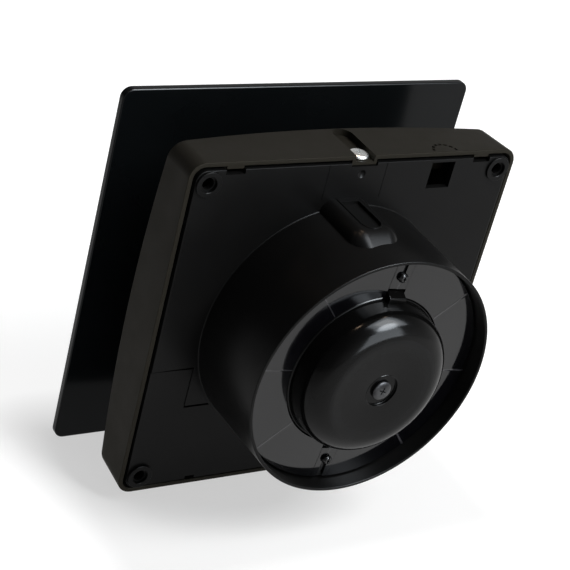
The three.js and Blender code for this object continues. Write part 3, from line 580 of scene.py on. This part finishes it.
def pinched(x, y, z):
    """Pulls the sides in towards the front corners."""
    t = (COVER_REAR_Y - y) / (COVER_REAR_Y - COVER_CORNER_Y)
    u, v = x / COVER_HALF, z / COVER_HALF
    return x * (1 - COVER_PINCH * t * v * v), y, z * (1 - COVER_PINCH * t * u * u)


def cover_skin(inset, edge, front_shift, rear_round):
    """Loops of one side of the shell, from its rear edge over the front edge to the dome's middle."""
    outline = square(COVER_HALF - inset, COVER_CORNER - inset, 8, 14)

    def inner(amount):
        return square(COVER_HALF - inset - amount, COVER_CORNER - inset - amount * 0.6, 8, 14)

    def front(x, z):
        return dome_y(x, z) + front_shift

    loops = []
    for amount, y in rear_round:
        loops.append([(x, y, z) for x, z in inner(amount)])
    rear = rear_round[-1][1]
    for step in range(1, 6):
        loops.append([(x, rear + (front(x, z) + edge - rear) * step / 5, z) for x, z in outline])
    for step in range(1, 5):
        t = step / 4 * math.pi / 2
        ring = inner(edge * (1 - math.cos(t)))
        loops.append([(x, front(x, z) + edge * (1 - math.sin(t)), z) for x, z in ring])
    last = inner(edge)
    for scale in (0.965, 0.92, 0.86, 0.79, 0.71, 0.62, 0.53, 0.43, 0.33, 0.23, 0.14, 0.06):
        loops.append([(x * scale, front(x * scale, z * scale), z * scale) for x, z in last])
    loops.append([(0, front(0, 0), 0)])
    return [[pinched(*point) for point in loop] for loop in loops]


def guard_cutter():
    """The ring-shaped air slots between the spokes, with rounded ends."""
    pieces = []
    for low, high in GUARD_SLOTS:
        for i in range(SPOKES):
            middle = 360 / SPOKES * i
            a = 180 / SPOKES - math.degrees(math.asin(SPOKE_HALF / low))
            b = 180 / SPOKES - math.degrees(math.asin(SPOKE_HALF / high))
            outer = arc(0, 0, high, middle - b, middle + b, 18)
            inner = arc(0, 0, low, middle + a, middle - a, 12)
            corners = [(*p, 0) for p in outer + inner]
            for j in (0, len(outer) - 1, len(outer), len(corners) - 1):
                corners[j] = (*corners[j][:2], 0.9)
            pieces.append(prism("slot", rounded(corners, 3), -32, -15))
    return merge("guard_slots", pieces)


def front_cover():
    lip = 0.35
    rear_round = [(lip, COVER_REAR_Y), (lip * 0.3, COVER_REAR_Y - lip * 0.3), (0, COVER_REAR_Y - lip)]
    outside = cover_skin(0, 1.3, 0, rear_round)
    rear_round = [(-0.2, COVER_REAR_Y), (0, COVER_REAR_Y - 0.2)]
    inside = cover_skin(COVER_WALL, 0.8, 2, rear_round)
    cover = loft("front_cover", list(reversed(inside)) + outside)
    carve(cover, guard_cutter())

    wall = 1.2
    left, right = SLOT_X - SLOT_HALF, SLOT_X + SLOT_HALF
    tray = block("tray", left - wall, right + wall, SLOT_FRONT_Y - wall, COVER_REAR_Y - 0.02,
                 SLOT_FLOOR_Z - wall, COVER_HALF - 1)
    limit = prism("limit", square(COVER_HALF - 0.6, COVER_CORNER), -22.4, 0)
    combine(tray, [limit], "INTERSECT")
    unite(cover, tray)
    reach = SLOT_HALF - 0.02
    hollow = [(left, SLOT_FRONT_Y, reach), (right, SLOT_FRONT_Y, reach), (right, 6, 0), (left, 6, 0)]
    carve(cover, prism("hollow", rounded(hollow, 12), SLOT_FLOOR_Z, 80, "Z"))
    hole = rod("hole", (SLOT_X, COVER_SCREW_Y, 62), (SLOT_X, COVER_SCREW_Y, 68), 1.9, 32)
    carve(cover, hole)

    for sx, sz in CORNERS:
        x, z = sx * STUD_HALF_PITCH, sz * STUD_HALF_PITCH
        profile = rounded([(0, -22.8, 0), (7, -22.8, 0), (6.8, -34, 0.5), (0, -34, 0)])
        socket = lathe("socket", profile, 48)
        ribs = [block("rib", 6, 10, -31.5, -22.9, -0.7, 0.7), block("rib", -10, -6, -31.5, -22.9, -0.7, 0.7),
                block("rib", -0.7, 0.7, -31.5, -22.9, 6, 10), block("rib", -0.7, 0.7, -31.5, -22.9, -10, -6)]
        unite(socket, *ribs)
        unite(cover, shift(socket, x, 0, z))
        profile = rounded([(0, -35, 0), (5, -35, 0), (4.4, -33.4, 0.3), (4.4, -29, 0), (0, -29, 0)])
        carve(cover, shift(lathe("bore", profile, 48), x, 0, z))

    for x in HOOK_X:
        stem = block("stem", x - 3.4, x + 3.4, -6, COVER_REAR_Y - 0.1, 66.6, COVER_HALF - 1.2, 0.2)
        hook = block("hook", x - 3.4, x + 3.4, -5.2, -3.6, 65.4, 67.6, 0.3)
        unite(cover, stem, hook)
    carve(cover, knockout_cutter())
    return cover


def knockout_cutter():
    """Short dashes along a half circle at the top wall's rear edge."""
    dashes = []
    for start in range(184, 356, 25):
        outer = arc(-36.5, COVER_REAR_Y - 0.6, 5.6, start, start + 17, 5)
        inner = arc(-36.5, COVER_REAR_Y - 0.6, 4.5, start + 17, start, 5)
        dashes.append(prism("dash", outer + inner, COVER_HALF - 0.9, COVER_HALF + 3, "Z"))
    return merge("dashes", dashes)


finish_piece(front_cover(), "housing", "casing", COVER_PLASTIC, "front_cover")

# ---------- Back plate, spigot and shroud: one moulding ----------


def duct_tube():
    root = 0.45
    fillet = arc(49.75 + root, PLATE_REAR_Y + root, root, -90, -180, 5)
    profile = rounded([
        (45.6, -1.4, 1), (45.6, -18.2, 2.4), (48.6, -21, 0.45), (49.6, -20.1, 0.45),
        (47.6, -16.8, 1.2), (47.6, -2.6, 0),
    ])
    profile += [(50.8, -2.6), (50.8, -1.05)] + fillet
    profile += rounded([
        (49.75, 3, 0), (49.25, SPIGOT_REAR_Y, 0.34), (SPIGOT_BORE, SPIGOT_REAR_Y, 0.34),
        (SPIGOT_BORE, 2.2, 0.8),
    ])
    return lathe("duct_tube", profile, 192)


def lead_hood():
    left, right = HOOD_X - HOOD_HALF, HOOD_X + HOOD_HALF
    outline = rounded([(left, 40, 0), (right, 40, 0), (right, HOOD_TOP_Z, 5.5), (left, HOOD_TOP_Z, 5.5)], 14)
    loops = []
    for y, drop in ((-2.8, 0), (18, 0), *HOOD_END):
        pull = drop * 0.5
        loops.append([(HOOD_X + (x - HOOD_X) * (1 - pull / HOOD_HALF), y, z - drop) for x, z in outline])
    hood = loft("hood", loops)
    inside = lathe("inside", [(0, -10), (48.6, -10), (48.6, 40), (0, 40)], 192)
    return carve(hood, inside)


def hood_pocket(margin, start):
    """Outline of the long pocket on top of the hood, round at its rear end."""
    half = 3.75 + margin
    rear = HOOD_REAR_Y - 3.8 + margin
    return rounded([(HOOD_X - half, start, 0.3), (HOOD_X + half, start, 0.3),
                    (HOOD_X + half, rear, half - 0.05), (HOOD_X - half, rear, half - 0.05)], 12)


def fixing_boss():
    return lathe("boss", rounded([(2.8, -2.8, 0), (4.9, -2.8, 0), (4.9, 0, 0.2), (2.8, 0, 0)]), 56)


def fixing_hole():
    profile = [(0, -8), (2.2, -8), (2.2, -1.2), (3, -1.2), (3, -0.12), (3.12, 0), (3.12, 2), (0, 2)]
    return lathe("hole", profile, 56)


def plate_blank():
    edge = 0.35
    levels = [(0, PLATE_FRONT_Y), (0, PLATE_REAR_Y - edge), (edge * 0.3, PLATE_REAR_Y - edge * 0.3),
              (edge, PLATE_REAR_Y)]
    loops = []
    for inset, y in levels:
        loops.append([(x, y, z) for x, z in square(PLATE_HALF - inset, PLATE_CORNER - inset, 8, 1)])
    return loft("back_plate", loops)


def plate_notches():
    """What is cut out of the plate's edges and face."""
    cuts = [block("tray_notch", SLOT_X - 5.5, SLOT_X + 5.5, -12, 2, 65.55, 70)]
    cuts += [block("hook_notch", x - 3.8, x + 3.8, -8, 2, 65, 70) for x in HOOK_X]
    cuts.append(block("lower_notch", 37.5, 41.5, -8, 2, -70, -65.6))
    cuts.append(block("entry", -41.1, -30.8, -8, 2, 55, 65.6))
    cuts.append(block("lead_slot", HOOD_X - 3, HOOD_X + 3, -8, HOOD_REAR_Y - 4, 44, 50.6))
    return cuts


def plate_marks():
    """Shallow marks in the rear face: tool joints, a dimple, and the set-back corner with its grooves."""
    top, left = SET_BACK_TOP_Z, SET_BACK_LEFT_Z
    corner = [(70, top), (SET_BACK_X, top), (SET_BACK_X, left), (0, left), (0, -70), (70, -70)]
    marks = [prism("set_back", corner, PLATE_REAR_Y - 0.35, 2)]
    for x in (14, -10.5):
        marks.append(block("line", x - 0.13, x + 0.13, PLATE_REAR_Y - 0.12, 2, 52.4, 68))
    groove = [(49.5, top + 0.5), (49.5, top - 0.5), (70, top - 0.15), (70, top + 0.1)]
    marks.append(prism("edge", groove, PLATE_REAR_Y - 1.1, 2))
    marks.append(block("edge", 0, SET_BACK_X, PLATE_REAR_Y - 1.4, 2, left - 0.7, left + 0.4))
    low = PLATE_REAR_Y - 0.5
    dish = [(0, low), (0.5, low), (1.1, low + 0.15), (1.6, PLATE_REAR_Y), (1.9, 0), (0, 0)]
    marks.append(shift(lathe("dimple", dish, 32), -0.4, 0, 62.5))
    return marks


def back_plate():
    plate = plate_blank()
    carve(plate, lathe("mouth", [(0, -10), (47.9, -10), (47.9, 10), (0, 10)], 192))
    carve(plate, *plate_marks())
    tube = duct_tube()
    unite(tube, lead_hood())
    unite(plate, tube)
    for sx, sz in CORNERS:
        x, z = sx * FIXING_HALF_PITCH, sz * FIXING_HALF_PITCH
        unite(plate, shift(fixing_boss(), x, 0, z))
        carve(plate, shift(fixing_hole(), x, 0, z))
    lug = block("lug", SLOT_X - 4, SLOT_X + 4, -10, PLATE_REAR_Y - 0.6, 57.5, 65.2, 0.3)
    unite(plate, lug)
    carve(plate, rod("pilot", (SLOT_X, COVER_SCREW_Y, 58.5), (SLOT_X, COVER_SCREW_Y, 66), 1.8, 32))
    for x in CLAMP_X:
        post = lathe("post", rounded([(0, -9.7, 0), (2.8, -9.7, 0.2), (2.8, -2, 0), (0, -2, 0)]), 32)
        unite(plate, shift(post, x, 0, CLAMP_Z))
        hole = rod("hole", (x, -11, CLAMP_Z), (x, -4.2, CLAMP_Z), 1.65)
        carve(plate, hole)
    carve(plate, *plate_notches())
    lip = prism("lip", hood_pocket(0.55, -2), HOOD_TOP_Z - 1.4, HOOD_TOP_Z + 0.3, "Z")
    unite(plate, soften(lip, 0.18, 2))
    carve(plate, prism("recess", hood_pocket(0, 2), HOOD_TOP_Z - 0.8, HOOD_TOP_Z + 3, "Z"))
    return plate


finish_piece(back_plate(), "housing", "casing", PLATE_PLASTIC, "back_plate", angle=30)

# ---------- Motor carrier ----------


def guide_vane():
    """A curved vane from the cup to the outer ring."""
    height, sweep, thick, steps = 18, 7, 1.6, 12
    low, high = CUP_RADIUS - 1, CARRIER_RADIUS - 0.9
    side = []
    for i in range(steps + 1):
        rise = i / steps
        side.append((sweep * (1 - rise) ** 2, CARRIER_REAR_Y - height + height * rise))
    outline = [(z - thick / 2, y) for z, y in side] + [(z + thick / 2, y) for z, y in reversed(side)]
    loops = [[(x, y, z) for z, y in outline] for x in (low, high)]
    return loft("vane", loops)


def motor_carrier():
    floor, flange, bore = CARRIER_FRONT_Y, 29.6, 26.6
    cup = lathe("motor_carrier", rounded([
        (3, floor, 0.3), (CUP_RADIUS, floor, 2.2), (CUP_RADIUS, flange - 2, 0.4),
        (31, flange - 1.1, 0.3), (31, flange, 0.2), (bore, flange, 0.3), (bore, floor + 1.8, 1),
        (8.8, floor + 1.8, 0.4), (8.8, 14.5, 0.3), (6.8, 14.5, 0.2), (6.8, 10.2, 0), (3, 10.2, 0.2),
    ]), 96)
    ring = lathe("ring", rounded([
        (46.3, 12, 0.4), (CARRIER_RADIUS, 12, 0.4), (CARRIER_RADIUS, CARRIER_REAR_Y, 0.3),
        (46.3, CARRIER_REAR_Y, 0.3),
    ]), 160)
    vanes = [turn(guide_vane(), POD_TWIST + 45 * i) for i in range(8)]
    unite(cup, ring, *vanes)
    room = lathe("room", [(0, flange), (31.3, flange), (31.3, 35), (0, 35)], 96)
    inside = lathe("inside", [(0, floor + 3.5), (bore - 0.05, floor + 3.5), (bore - 0.05, 35), (0, 35)], 96)
    keep = lathe("keep", rounded([(6.8, 10.2, 0), (8.8, 10.2, 0), (8.8, 14.5, 0.3), (6.8, 14.5, 0.2)]), 64)
    carve(cup, room, inside)
    unite(cup, keep)
    for side in (0, 180):
        carve(cup, turn(block("notch", CUP_RADIUS + 0.5, 36, 25.5, 32, -3.9, 3.9), FOLD_ANGLE + side))
        post = lathe("post", [(0, 10), (2.6, 10), (2.6, 16.2), (0, 16.2)], 32)
        unite(cup, turn(shift(post, TIE_X), side))
        hole = lathe("hole", [(0, 12), (1.6, 12), (1.6, 17), (0, 17)], 24)
        carve(cup, turn(shift(hole, TIE_X), side))
    carve(cup, turn(block("lead_hole", 24.6, 29.4, 12.6, 16.2, -8.6, -3), FOLD_ANGLE),
          block("rim_notch", HOOD_X - 3, HOOD_X + 3, 0, HOOD_REAR_Y - 4, 40, 50))
    return cup


finish_piece(motor_carrier(), "housing", "pod", FAN_PLASTIC, "motor_carrier")

# ---------- Motor cap ----------


def cap_shoulder(inset, steps):
    """The curve from the cap's side to its flat face."""
    radius, y = CAP_SHOULDER_AT
    out, back = CAP_SHOULDER_REACH
    points = []
    for i in range(steps + 1):
        t = i / steps * math.pi / 2
        points.append((radius - inset + out * math.cos(t), y - inset + back * math.sin(t)))
    return points


def motor_cap():
    wall = 1.8
    profile = rounded([(31 - wall, 29.9, 0.2), (31, 29.9, 0.2), (31, 30.7, 0.25), (30.4, 31.3, 0.6)], 4)
    profile += cap_shoulder(0, 28)
    floor_y = CAP_RECESS_FLOOR_Y
    profile += rounded([
        (6.4, 44.5, 0.25), (6.4, floor_y, 0.2), (1.9, floor_y, 0.1), (1.9, floor_y - wall, 0),
        (8.2, floor_y - wall, 0),
    ], 4)
    profile += [(8.2, 42.6)] + list(reversed(cap_shoulder(wall, 12)))
    cap = lathe("motor_cap", profile, 160)
    for side in (0, 180):
        slant = [(29.6, 30.1), (33.6, 30.1), (33.5, 30.5), (32, 33.4), (31.4, 33.7), (29.6, 33.5)]
        arm = prism("arm", slant, -CLIP_HALF, CLIP_HALF, "Z")
        soften(arm, 0.2, 2)
        leg = block("leg", 29.8, 31.4, 26, 31, -CLIP_HALF, CLIP_HALF, 0.2)
        unite(arm, leg)
        unite(cap, turn(arm, FOLD_ANGLE + side))
    return cap


finish_piece(motor_cap(), "housing", "pod", POD_PLASTIC, "motor_cap")

# ---------- Screws: head radius, head height, shank radius and length ----------

CAP_SCREW = (3.8, 1.2, 1.4, 5)
COVER_SCREW = (3.6, 1.3, 1.5, 7)
TIE_SCREW = (2.7, 1.5, 1.25, 22)
CLAMP_SCREW = (2.6, 1.6, 1.3, 8)


def thread(name, radius, length, pitch, depth, sides=20):
    """A shank with a helical thread and a pointed end, from y 0 down to -length."""
    rows = max(12, int(length / pitch * 8))
    loops = []
    for row in range(rows + 1):
        y = -length * row / rows
        taper = min(1.0, (length + y) / (radius * 1.4) + 0.25)
        fade = min(1.0, -y / pitch)
        loop = []
        for i, t in enumerate(circle(sides)):
            phase = (-y / pitch + i / sides) % 1
            crest = max(0.0, 1 - abs(phase - 0.5) * 3.2)
            r = (radius - depth + depth * crest * fade) * taper
            loop.append((r * math.cos(t), y, r * math.sin(t)))
        loops.append(loop)
    return loft(name, loops)


def screw(name, head, height, shank, length):
    """A pan-head screw with a cross recess, head up along +Y."""
    profile = [(0, 0), (head - 0.08, 0), (head, 0.08)]
    for i in range(8):
        t = i / 7 * math.pi / 2
        profile.append((head * (0.55 + 0.45 * math.cos(t)), height * (0.45 + 0.5 * math.sin(t))))
    profile.append((0, height))
    piece = lathe(name, profile, 56)
    arm, slot, floor = head * 0.52, head * 0.075, height * 0.3
    cutters = []
    for turned in (0, 90):
        cutter = loft("cutter", [
            [(-arm * 0.55, floor, -slot * 0.6), (arm * 0.55, floor, -slot * 0.6),
             (arm * 0.55, floor, slot * 0.6), (-arm * 0.55, floor, slot * 0.6)],
            [(-arm * 1.05, height + 1, -slot * 1.3), (arm * 1.05, height + 1, -slot * 1.3),
             (arm * 1.05, height + 1, slot * 1.3), (-arm * 1.05, height + 1, slot * 1.3)],
        ])
        cutters.append(turn(cutter, turned))
    carve(piece, *cutters)
    shaft = thread("shank", shank, length, shank * 0.75, shank * 0.22)
    return unite(piece, shift(shaft, 0, 0.05, 0))


def place_screw(name, slot, material, at, sizes, tilt=0.0, spin=0.0):
    piece = turn(screw(name, *sizes), spin)
    move(piece, Matrix.Rotation(math.radians(tilt), 4, "X"))
    shift(piece, *at)
    return finish_piece(piece, "housing", slot, material, name)


place_screw("cap_screw", "steel", SHADED_STEEL, (0, CAP_RECESS_FLOOR_Y + GAP, 0), CAP_SCREW, spin=20)
place_screw("cover_screw", "zinc", ZINC, (SLOT_X, COVER_SCREW_Y, SLOT_FLOOR_Z + GAP), COVER_SCREW, 90, 35)
for number, side in enumerate((1, -1), 1):
    place_screw(f"tie_screw_{number}", "steel", STEEL, (side * TIE_X, 35.3, 0), TIE_SCREW, spin=10 * number)
for number, x in enumerate(CLAMP_X, 1):
    place_screw(f"clamp_screw_{number}", "steel", STEEL, (x, CLAMP_Y - 2.9, CLAMP_Z), CLAMP_SCREW, 180, 25)

# ---------- Backdraught shutter ----------


def film_height(radius, angle):
    """How far the film stands up where it rests on a vane, at an angle in degrees."""
    reach = (radius - FILM_HOLE) / (FILM_RADIUS - FILM_HOLE)
    rise = 0.0
    for vane in range(8):
        off = (angle - POD_TWIST - 45 * vane + 180) % 360 - 180
        rise += 0.07 * math.exp(-(off / 0.5) ** 2)
    return rise - 0.05 * math.sin(math.pi * reach) * (1 + math.cos(math.radians(angle * 4 + 40)))


def crease_steps(start, end, steps=90):
    """Fractions of the way round, closer together where the film bends over a vane."""
    fractions = {i / steps for i in range(steps + 1)}
    for vane in range(-8, 16):
        middle = POD_TWIST + 45 * vane
        for k in range(-8, 9):
            fraction = (middle + k * 0.15 - start) / (end - start)
            if 0.004 < fraction < 0.996:
                fractions.add(fraction)
    return sorted(fractions)


def film_sheet(name, low, high, edge_low, edge_high, rings=14):
    """A thin sheet between two radii; the straight edges run beside the fold line."""
    top, bottom = [], []
    fractions = crease_steps(edge_low(high), edge_high(high))
    for i in range(rings + 1):
        radius = low + (high - low) * i / rings
        start, end = edge_low(radius), edge_high(radius)
        row_top, row_bottom = [], []
        for fraction in fractions:
            angle = start + (end - start) * fraction
            t = math.radians(angle)
            lift = film_height(radius, angle)
            x, z = radius * math.cos(t), radius * math.sin(t)
            row_top.append((x, FILM_Y + FILM_THICKNESS * 0.75 + lift, z))
            row_bottom.append((x, FILM_Y + FILM_THICKNESS * 0.2 + lift, z))
        top.append(row_top)
        bottom.append(row_bottom)
    loops = []
    for j in range(len(fractions)):
        loops.append([row[j] for row in top] + [row[j] for row in reversed(bottom)])
    return loft(name, loops)


def flap(name, side):
    """One flap, on the +X side or the -X side of the leaning fold."""
    def start(radius):
        return FOLD_ANGLE - 180 + math.degrees(math.asin(FILM_EDGE / radius)) + (0 if side > 0 else 180)

    def end(radius):
        return FOLD_ANGLE - math.degrees(math.asin(FILM_EDGE / radius)) + (0 if side > 0 else 180)

    return film_sheet(name, FILM_HOLE, FILM_RADIUS, start, end)


finish_piece(flap("shutter_flap_left", 1), "flap_left", "film", FILM, "shutter_flap_left")
finish_piece(flap("shutter_flap_right", -1), "flap_right", "film", FILM, "shutter_flap_right")


def strip(name, slit_half):
    """The fixed strip between the flaps, with a slit and a hole for its pin. Drawn along +X."""
    low = 34.4
    tip = math.sqrt(FILM_RADIUS ** 2 - STRIP_HALF ** 2)
    outline = [(low, -STRIP_HALF), (tip, -STRIP_HALF)]
    outline += [(FILM_RADIUS * math.cos(t), FILM_RADIUS * math.sin(t))
                for t in [math.asin(STRIP_HALF / FILM_RADIUS) * k / 5 for k in range(-4, 5)]]
    outline += [(tip, STRIP_HALF), (low, STRIP_HALF)]
    sheet = prism(name, outline, FILM_Y + 0.08, FILM_Y + 0.3)
    cuts = [block("slit", PIN_RADIUS_AT, 60, 20, 40, -slit_half, slit_half)]
    hole = lathe("hole", [(0, 20), (1.75, 20), (1.75, 40), (0, 40)], 32)
    cuts.append(shift(hole, PIN_RADIUS_AT))
    carve(sheet, *cuts)
    ridges = []
    floor, top = FILM_Y + 0.2, FILM_Y + 0.34
    for z in (-STRIP_HALF + 0.3, STRIP_HALF - 0.3):
        ridges.append(block("ridge", low + 0.2, tip - 0.4, floor, top, z - 0.12, z + 0.12, 0.04))
    return unite(sheet, *ridges)


def pin(name):
    """A split pin with a mushroom head."""
    foot, head = CARRIER_REAR_Y + GAP, FILM_Y + FILM_THICKNESS + GAP
    piece = lathe(name, rounded([
        (0, foot, 0), (1.3, foot, 0.1), (1.3, head, 0), (1.9, head, 0.15), (1.9, head + 0.6, 0.2),
        (1.2, head + 1.35, 0.4), (0.5, head + 1.35, 0.1), (0.4, head + 0.5, 0), (0, head + 0.5, 0),
    ]), 40)
    return shift(carve(piece, block("split", -3, 3, head - 0.2, head + 3, -0.22, 0.22)), PIN_RADIUS_AT)


for end, side, slit in (("top", 0, 0.8), ("bottom", 180, 1.3)):
    finish_piece(turn(strip(f"shutter_strip_{end}", slit), FOLD_ANGLE + side), "housing", "film", FILM,
                 f"shutter_strip_{end}")
    finish_piece(turn(pin(f"shutter_pin_{end}"), FOLD_ANGLE + side), "housing", "pod", FAN_PLASTIC,
                 f"shutter_pin_{end}")

# ---------- Impeller ----------


def blade():
    """One twisted blade with rounded edges, steeper at the hub than at the tip."""
    root, tip, rings, chord_steps = 16.0, 44.0, 14, 14
    loops = []
    for i in range(rings + 1):
        reach = i / rings
        radius = root + (tip - root) * reach
        pitch = math.radians(52 - 24 * reach)
        section = []
        for j in range(2 * chord_steps):
            upper = j <= chord_steps
            k = j if upper else 2 * chord_steps - j
            u = -math.cos(math.pi * k / chord_steps)
            half = 0.75 * math.sqrt(max(0.0, 1 - u ** 4)) * (1.15 - 0.35 * reach) + 0.02
            z = 12 * u * (1 + 0.15 * reach)
            lift = 2.2 * (1 - u * u) + (half if upper else -half)
            across = z * math.cos(pitch) - lift * math.sin(pitch)
            along = z * math.sin(pitch) + lift * math.cos(pitch)
            angle = across / max(radius, 17)
            section.append((radius * math.cos(angle), along * 0.78 - 5.6, radius * math.sin(angle)))
        loops.append(section)
    return loft("blade", loops)


def impeller():
    hub = lathe("impeller", rounded([
        (2.3, -17, 0.2), (12, -17, 1.5), (15.6, -15.5, 2), (17, -12, 2.5), (17, 6, 0.3), (15.4, 6, 0.3),
        (15.4, -12.5, 2), (6, -14.5, 0.6), (5, 5, 0.3), (2.3, 5, 0.3),
    ], 5), 96)
    inside = lathe("inside", [(0, -14), (16, -14), (16, 40), (0, 40)], 96)
    blades = merge("blades", [turn(blade(), i * 360 / 7) for i in range(7)])
    carve(blades, inside)
    return unite(hub, blades)


finish_piece(impeller(), "rotating", "impeller", FAN_PLASTIC, "impeller")


def impeller_clip():
    return lathe("impeller_clip", rounded([
        (0, -21, 0), (3.4, -21, 0.6), (4.4, -20, 0.5), (4.4, -17.3, 0.2), (2.3, -17.3, 0.1),
        (2.3, -19.3, 0.1), (0, -19.3, 0),
    ]), 48)


finish_piece(impeller_clip(), "rotating", "impeller", FAN_PLASTIC, "impeller_clip")

# ---------- CAD nodes that stay, with better materials ----------

KEPT = {
    "stator_core": LAMINATIONS, "rotor": LAMINATIONS, "shaft": STEEL, "front_bearing": STEEL,
    "rear_bearing": STEEL, "rear_bracket": STEEL, "cable_clamp": COVER_PLASTIC, "terminal_block": NYLON,
    "lead_live": BROWN_LEAD, "lead_neutral": BLUE_LEAD,
    **{f"coil_{i}": COPPER for i in range(1, 5)},
    **{f"terminal_screw_{i}": STEEL for i in range(1, 4)},
}
for node, material in KEPT.items():
    mesh_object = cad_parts[node]
    for material_slot in mesh_object.material_slots:
        material_slot.material = material

# ---------- Floor, light and camera ----------

FLOOR_Z = CAD_BOX[0][2] - 0.0002
FLOOR_GLOW = 0.85


def floor():
    """White floor with a painted glow, which fades out under the object as a painted contact shadow and on
    one side of the room as painted shade.
    """
    reach = 9000
    surface = make("floor", [(-reach, -reach, 0), (reach, -reach, 0), (reach, reach, 0), (-reach, reach, 0)],
                   [(0, 1, 2, 3)])
    surface.location.z = FLOOR_Z
    shader = Shader("floor")
    mottle = shader.noise(3.0, 3.0)
    colour = shader.blend(shader.spread(mottle, 0, 1), (0.46, 0.46, 0.46), (0.44, 0.44, 0.44))
    vector = shader.coords
    steps = (("ADD", (0, 0.0055, 0)), ("ABSOLUTE", (0, 0, 0)), ("SUBTRACT", (0.075, 0.0425, 0)),
             ("MAXIMUM", (0, 0, 0)), ("MULTIPLY", (1, 1, 0)))
    for operation, amount in steps:
        node = shader.node("ShaderNodeVectorMath", {0: vector}, {1: amount}, operation=operation)
        vector = node.outputs["Vector"]
    away = shader.node("ShaderNodeVectorMath", {0: vector}, operation="LENGTH").outputs["Value"]
    # Painted contact shadow: the glow drops near and under the object.
    clear = shader.spread(away, 0.55, FLOOR_GLOW, 0.002, 0.028)
    across = shader.node("ShaderNodeSeparateXYZ", {0: shader.coords}).outputs["X"]
    # Painted shade: the glow is dimmer on one side of the room.
    bright_side = shader.spread(across, 1, 0.35, 0.092, 0.3)
    glow = shader.calc("MULTIPLY", {0: clear, 1: bright_side})
    material = shader.plug({"Base Color": colour, "Emission Strength": glow}, roughness=0.9, specular=0.0)
    shader.surface.inputs["Emission Color"].default_value = (1, 1, 1, 1)
    surface.data.materials.append(material)


def softbox(name, direction, distance, width, height, power, colour=(1, 1, 1), sheen_only=False,
            round_box=False):
    """A light panel that faces the object. One for sheen only shows in gloss and lights nothing else."""
    light = bpy.data.lights.new(name, "AREA")
    light.shape = "ELLIPSE" if round_box else "RECTANGLE"
    light.size = width
    light.size_y = height
    light.energy = power
    light.color = colour
    lamp = bpy.data.objects.new(name, light)
    towards = Vector(direction).normalized()
    lamp.location = towards * distance
    lamp.rotation_mode = "QUATERNION"
    lamp.rotation_quaternion = towards.to_track_quat("Z", "Y")
    lamp.visible_diffuse = not sheen_only
    bpy.context.scene.collection.objects.link(lamp)


def sky():
    """A pale horizon that falls off to a dim ceiling, and is dimmer on one side of the room."""
    world = bpy.data.worlds.new("sky")
    bpy.context.scene.world = world
    world.use_nodes = True
    tree = world.node_tree
    background = tree.nodes["Background"]
    coords = tree.nodes.new("ShaderNodeTexCoord")
    split = tree.nodes.new("ShaderNodeSeparateXYZ")
    ramp = tree.nodes.new("ShaderNodeValToRGB")
    tree.links.new(coords.outputs["Generated"], split.inputs[0])
    tree.links.new(split.outputs["Z"], ramp.inputs[0])
    tree.links.new(ramp.outputs[0], background.inputs[0])
    side = tree.nodes.new("ShaderNodeMapRange")
    side.inputs["From Min"].default_value = 0.0
    side.inputs["From Max"].default_value = 0.6
    side.inputs["To Min"].default_value = 1.0
    side.inputs["To Max"].default_value = 0.12
    tree.links.new(split.outputs["X"], side.inputs["Value"])
    tree.links.new(side.outputs["Result"], background.inputs["Strength"])
    stops = ramp.color_ramp.elements
    stops[0].position = 0.02
    stops[0].color = (0.95, 0.95, 0.95, 1)
    stops[1].position = 0.72
    stops[1].color = (0.2, 0.2, 0.205, 1)
    middle = stops.new(0.45)
    middle.color = (0.4, 0.4, 0.4, 1)


def camera():
    """The camera stands behind the fan, above and to its left, and leans a little."""
    right = Vector((-0.844311, 0.484701, 0.228484))
    forward = Vector((-0.530286, -0.694467, -0.486325))
    up = right.cross(forward).normalized()
    data = bpy.data.cameras.new("camera")
    data.sensor_width = 36
    data.lens = 110.952
    data.shift_x = -0.004215
    data.shift_y = -0.002879
    data.clip_start = 0.01
    view = bpy.data.objects.new("camera", data)
    rotation = Matrix((right, up, -forward)).transposed()
    view.rotation_mode = "QUATERNION"
    view.rotation_quaternion = rotation.to_quaternion()
    view.location = (0.353544, 0.437586, 0.325491)
    bpy.context.scene.collection.objects.link(view)
    bpy.context.scene.camera = view


floor()
sky()
WINDOW = (0.86, 0.93, 1.0)
WARM = (1.0, 0.72, 0.5)
softbox("key", (-0.33, 0.5, 0.8), 1.1, 0.42, 0.62, 12)
softbox("window_low", (-0.36, 0.9, 0.24), 1.1, 0.6, 0.6, 14, WINDOW, True)
softbox("window_high", (-0.33, 0.5, 0.8), 1.13, 0.72, 0.96, 34, WINDOW, True)
softbox("window_middle", (-0.358, 0.693, 0.625), 1.08, 0.42, 0.42, 18, WINDOW, True, True)
softbox("lamp_left", (0.277, -0.012, 0.961), 1.1, 0.14, 0.14, 2.2, WARM, True, True)
softbox("lamp_middle", (-0.096, -0.183, 0.979), 1.1, 0.13, 0.13, 3, WARM, True, True)
softbox("lamp_far", (0.512, -0.382, 0.77), 1.1, 0.12, 0.12, 0.7, WARM, True, True)
softbox("lamp_right", (-0.327, 0.034, 0.944), 1.1, 0.07, 0.07, 0.35, WARM, True, True)
camera()
bpy.context.scene.view_settings.view_transform = "Standard"
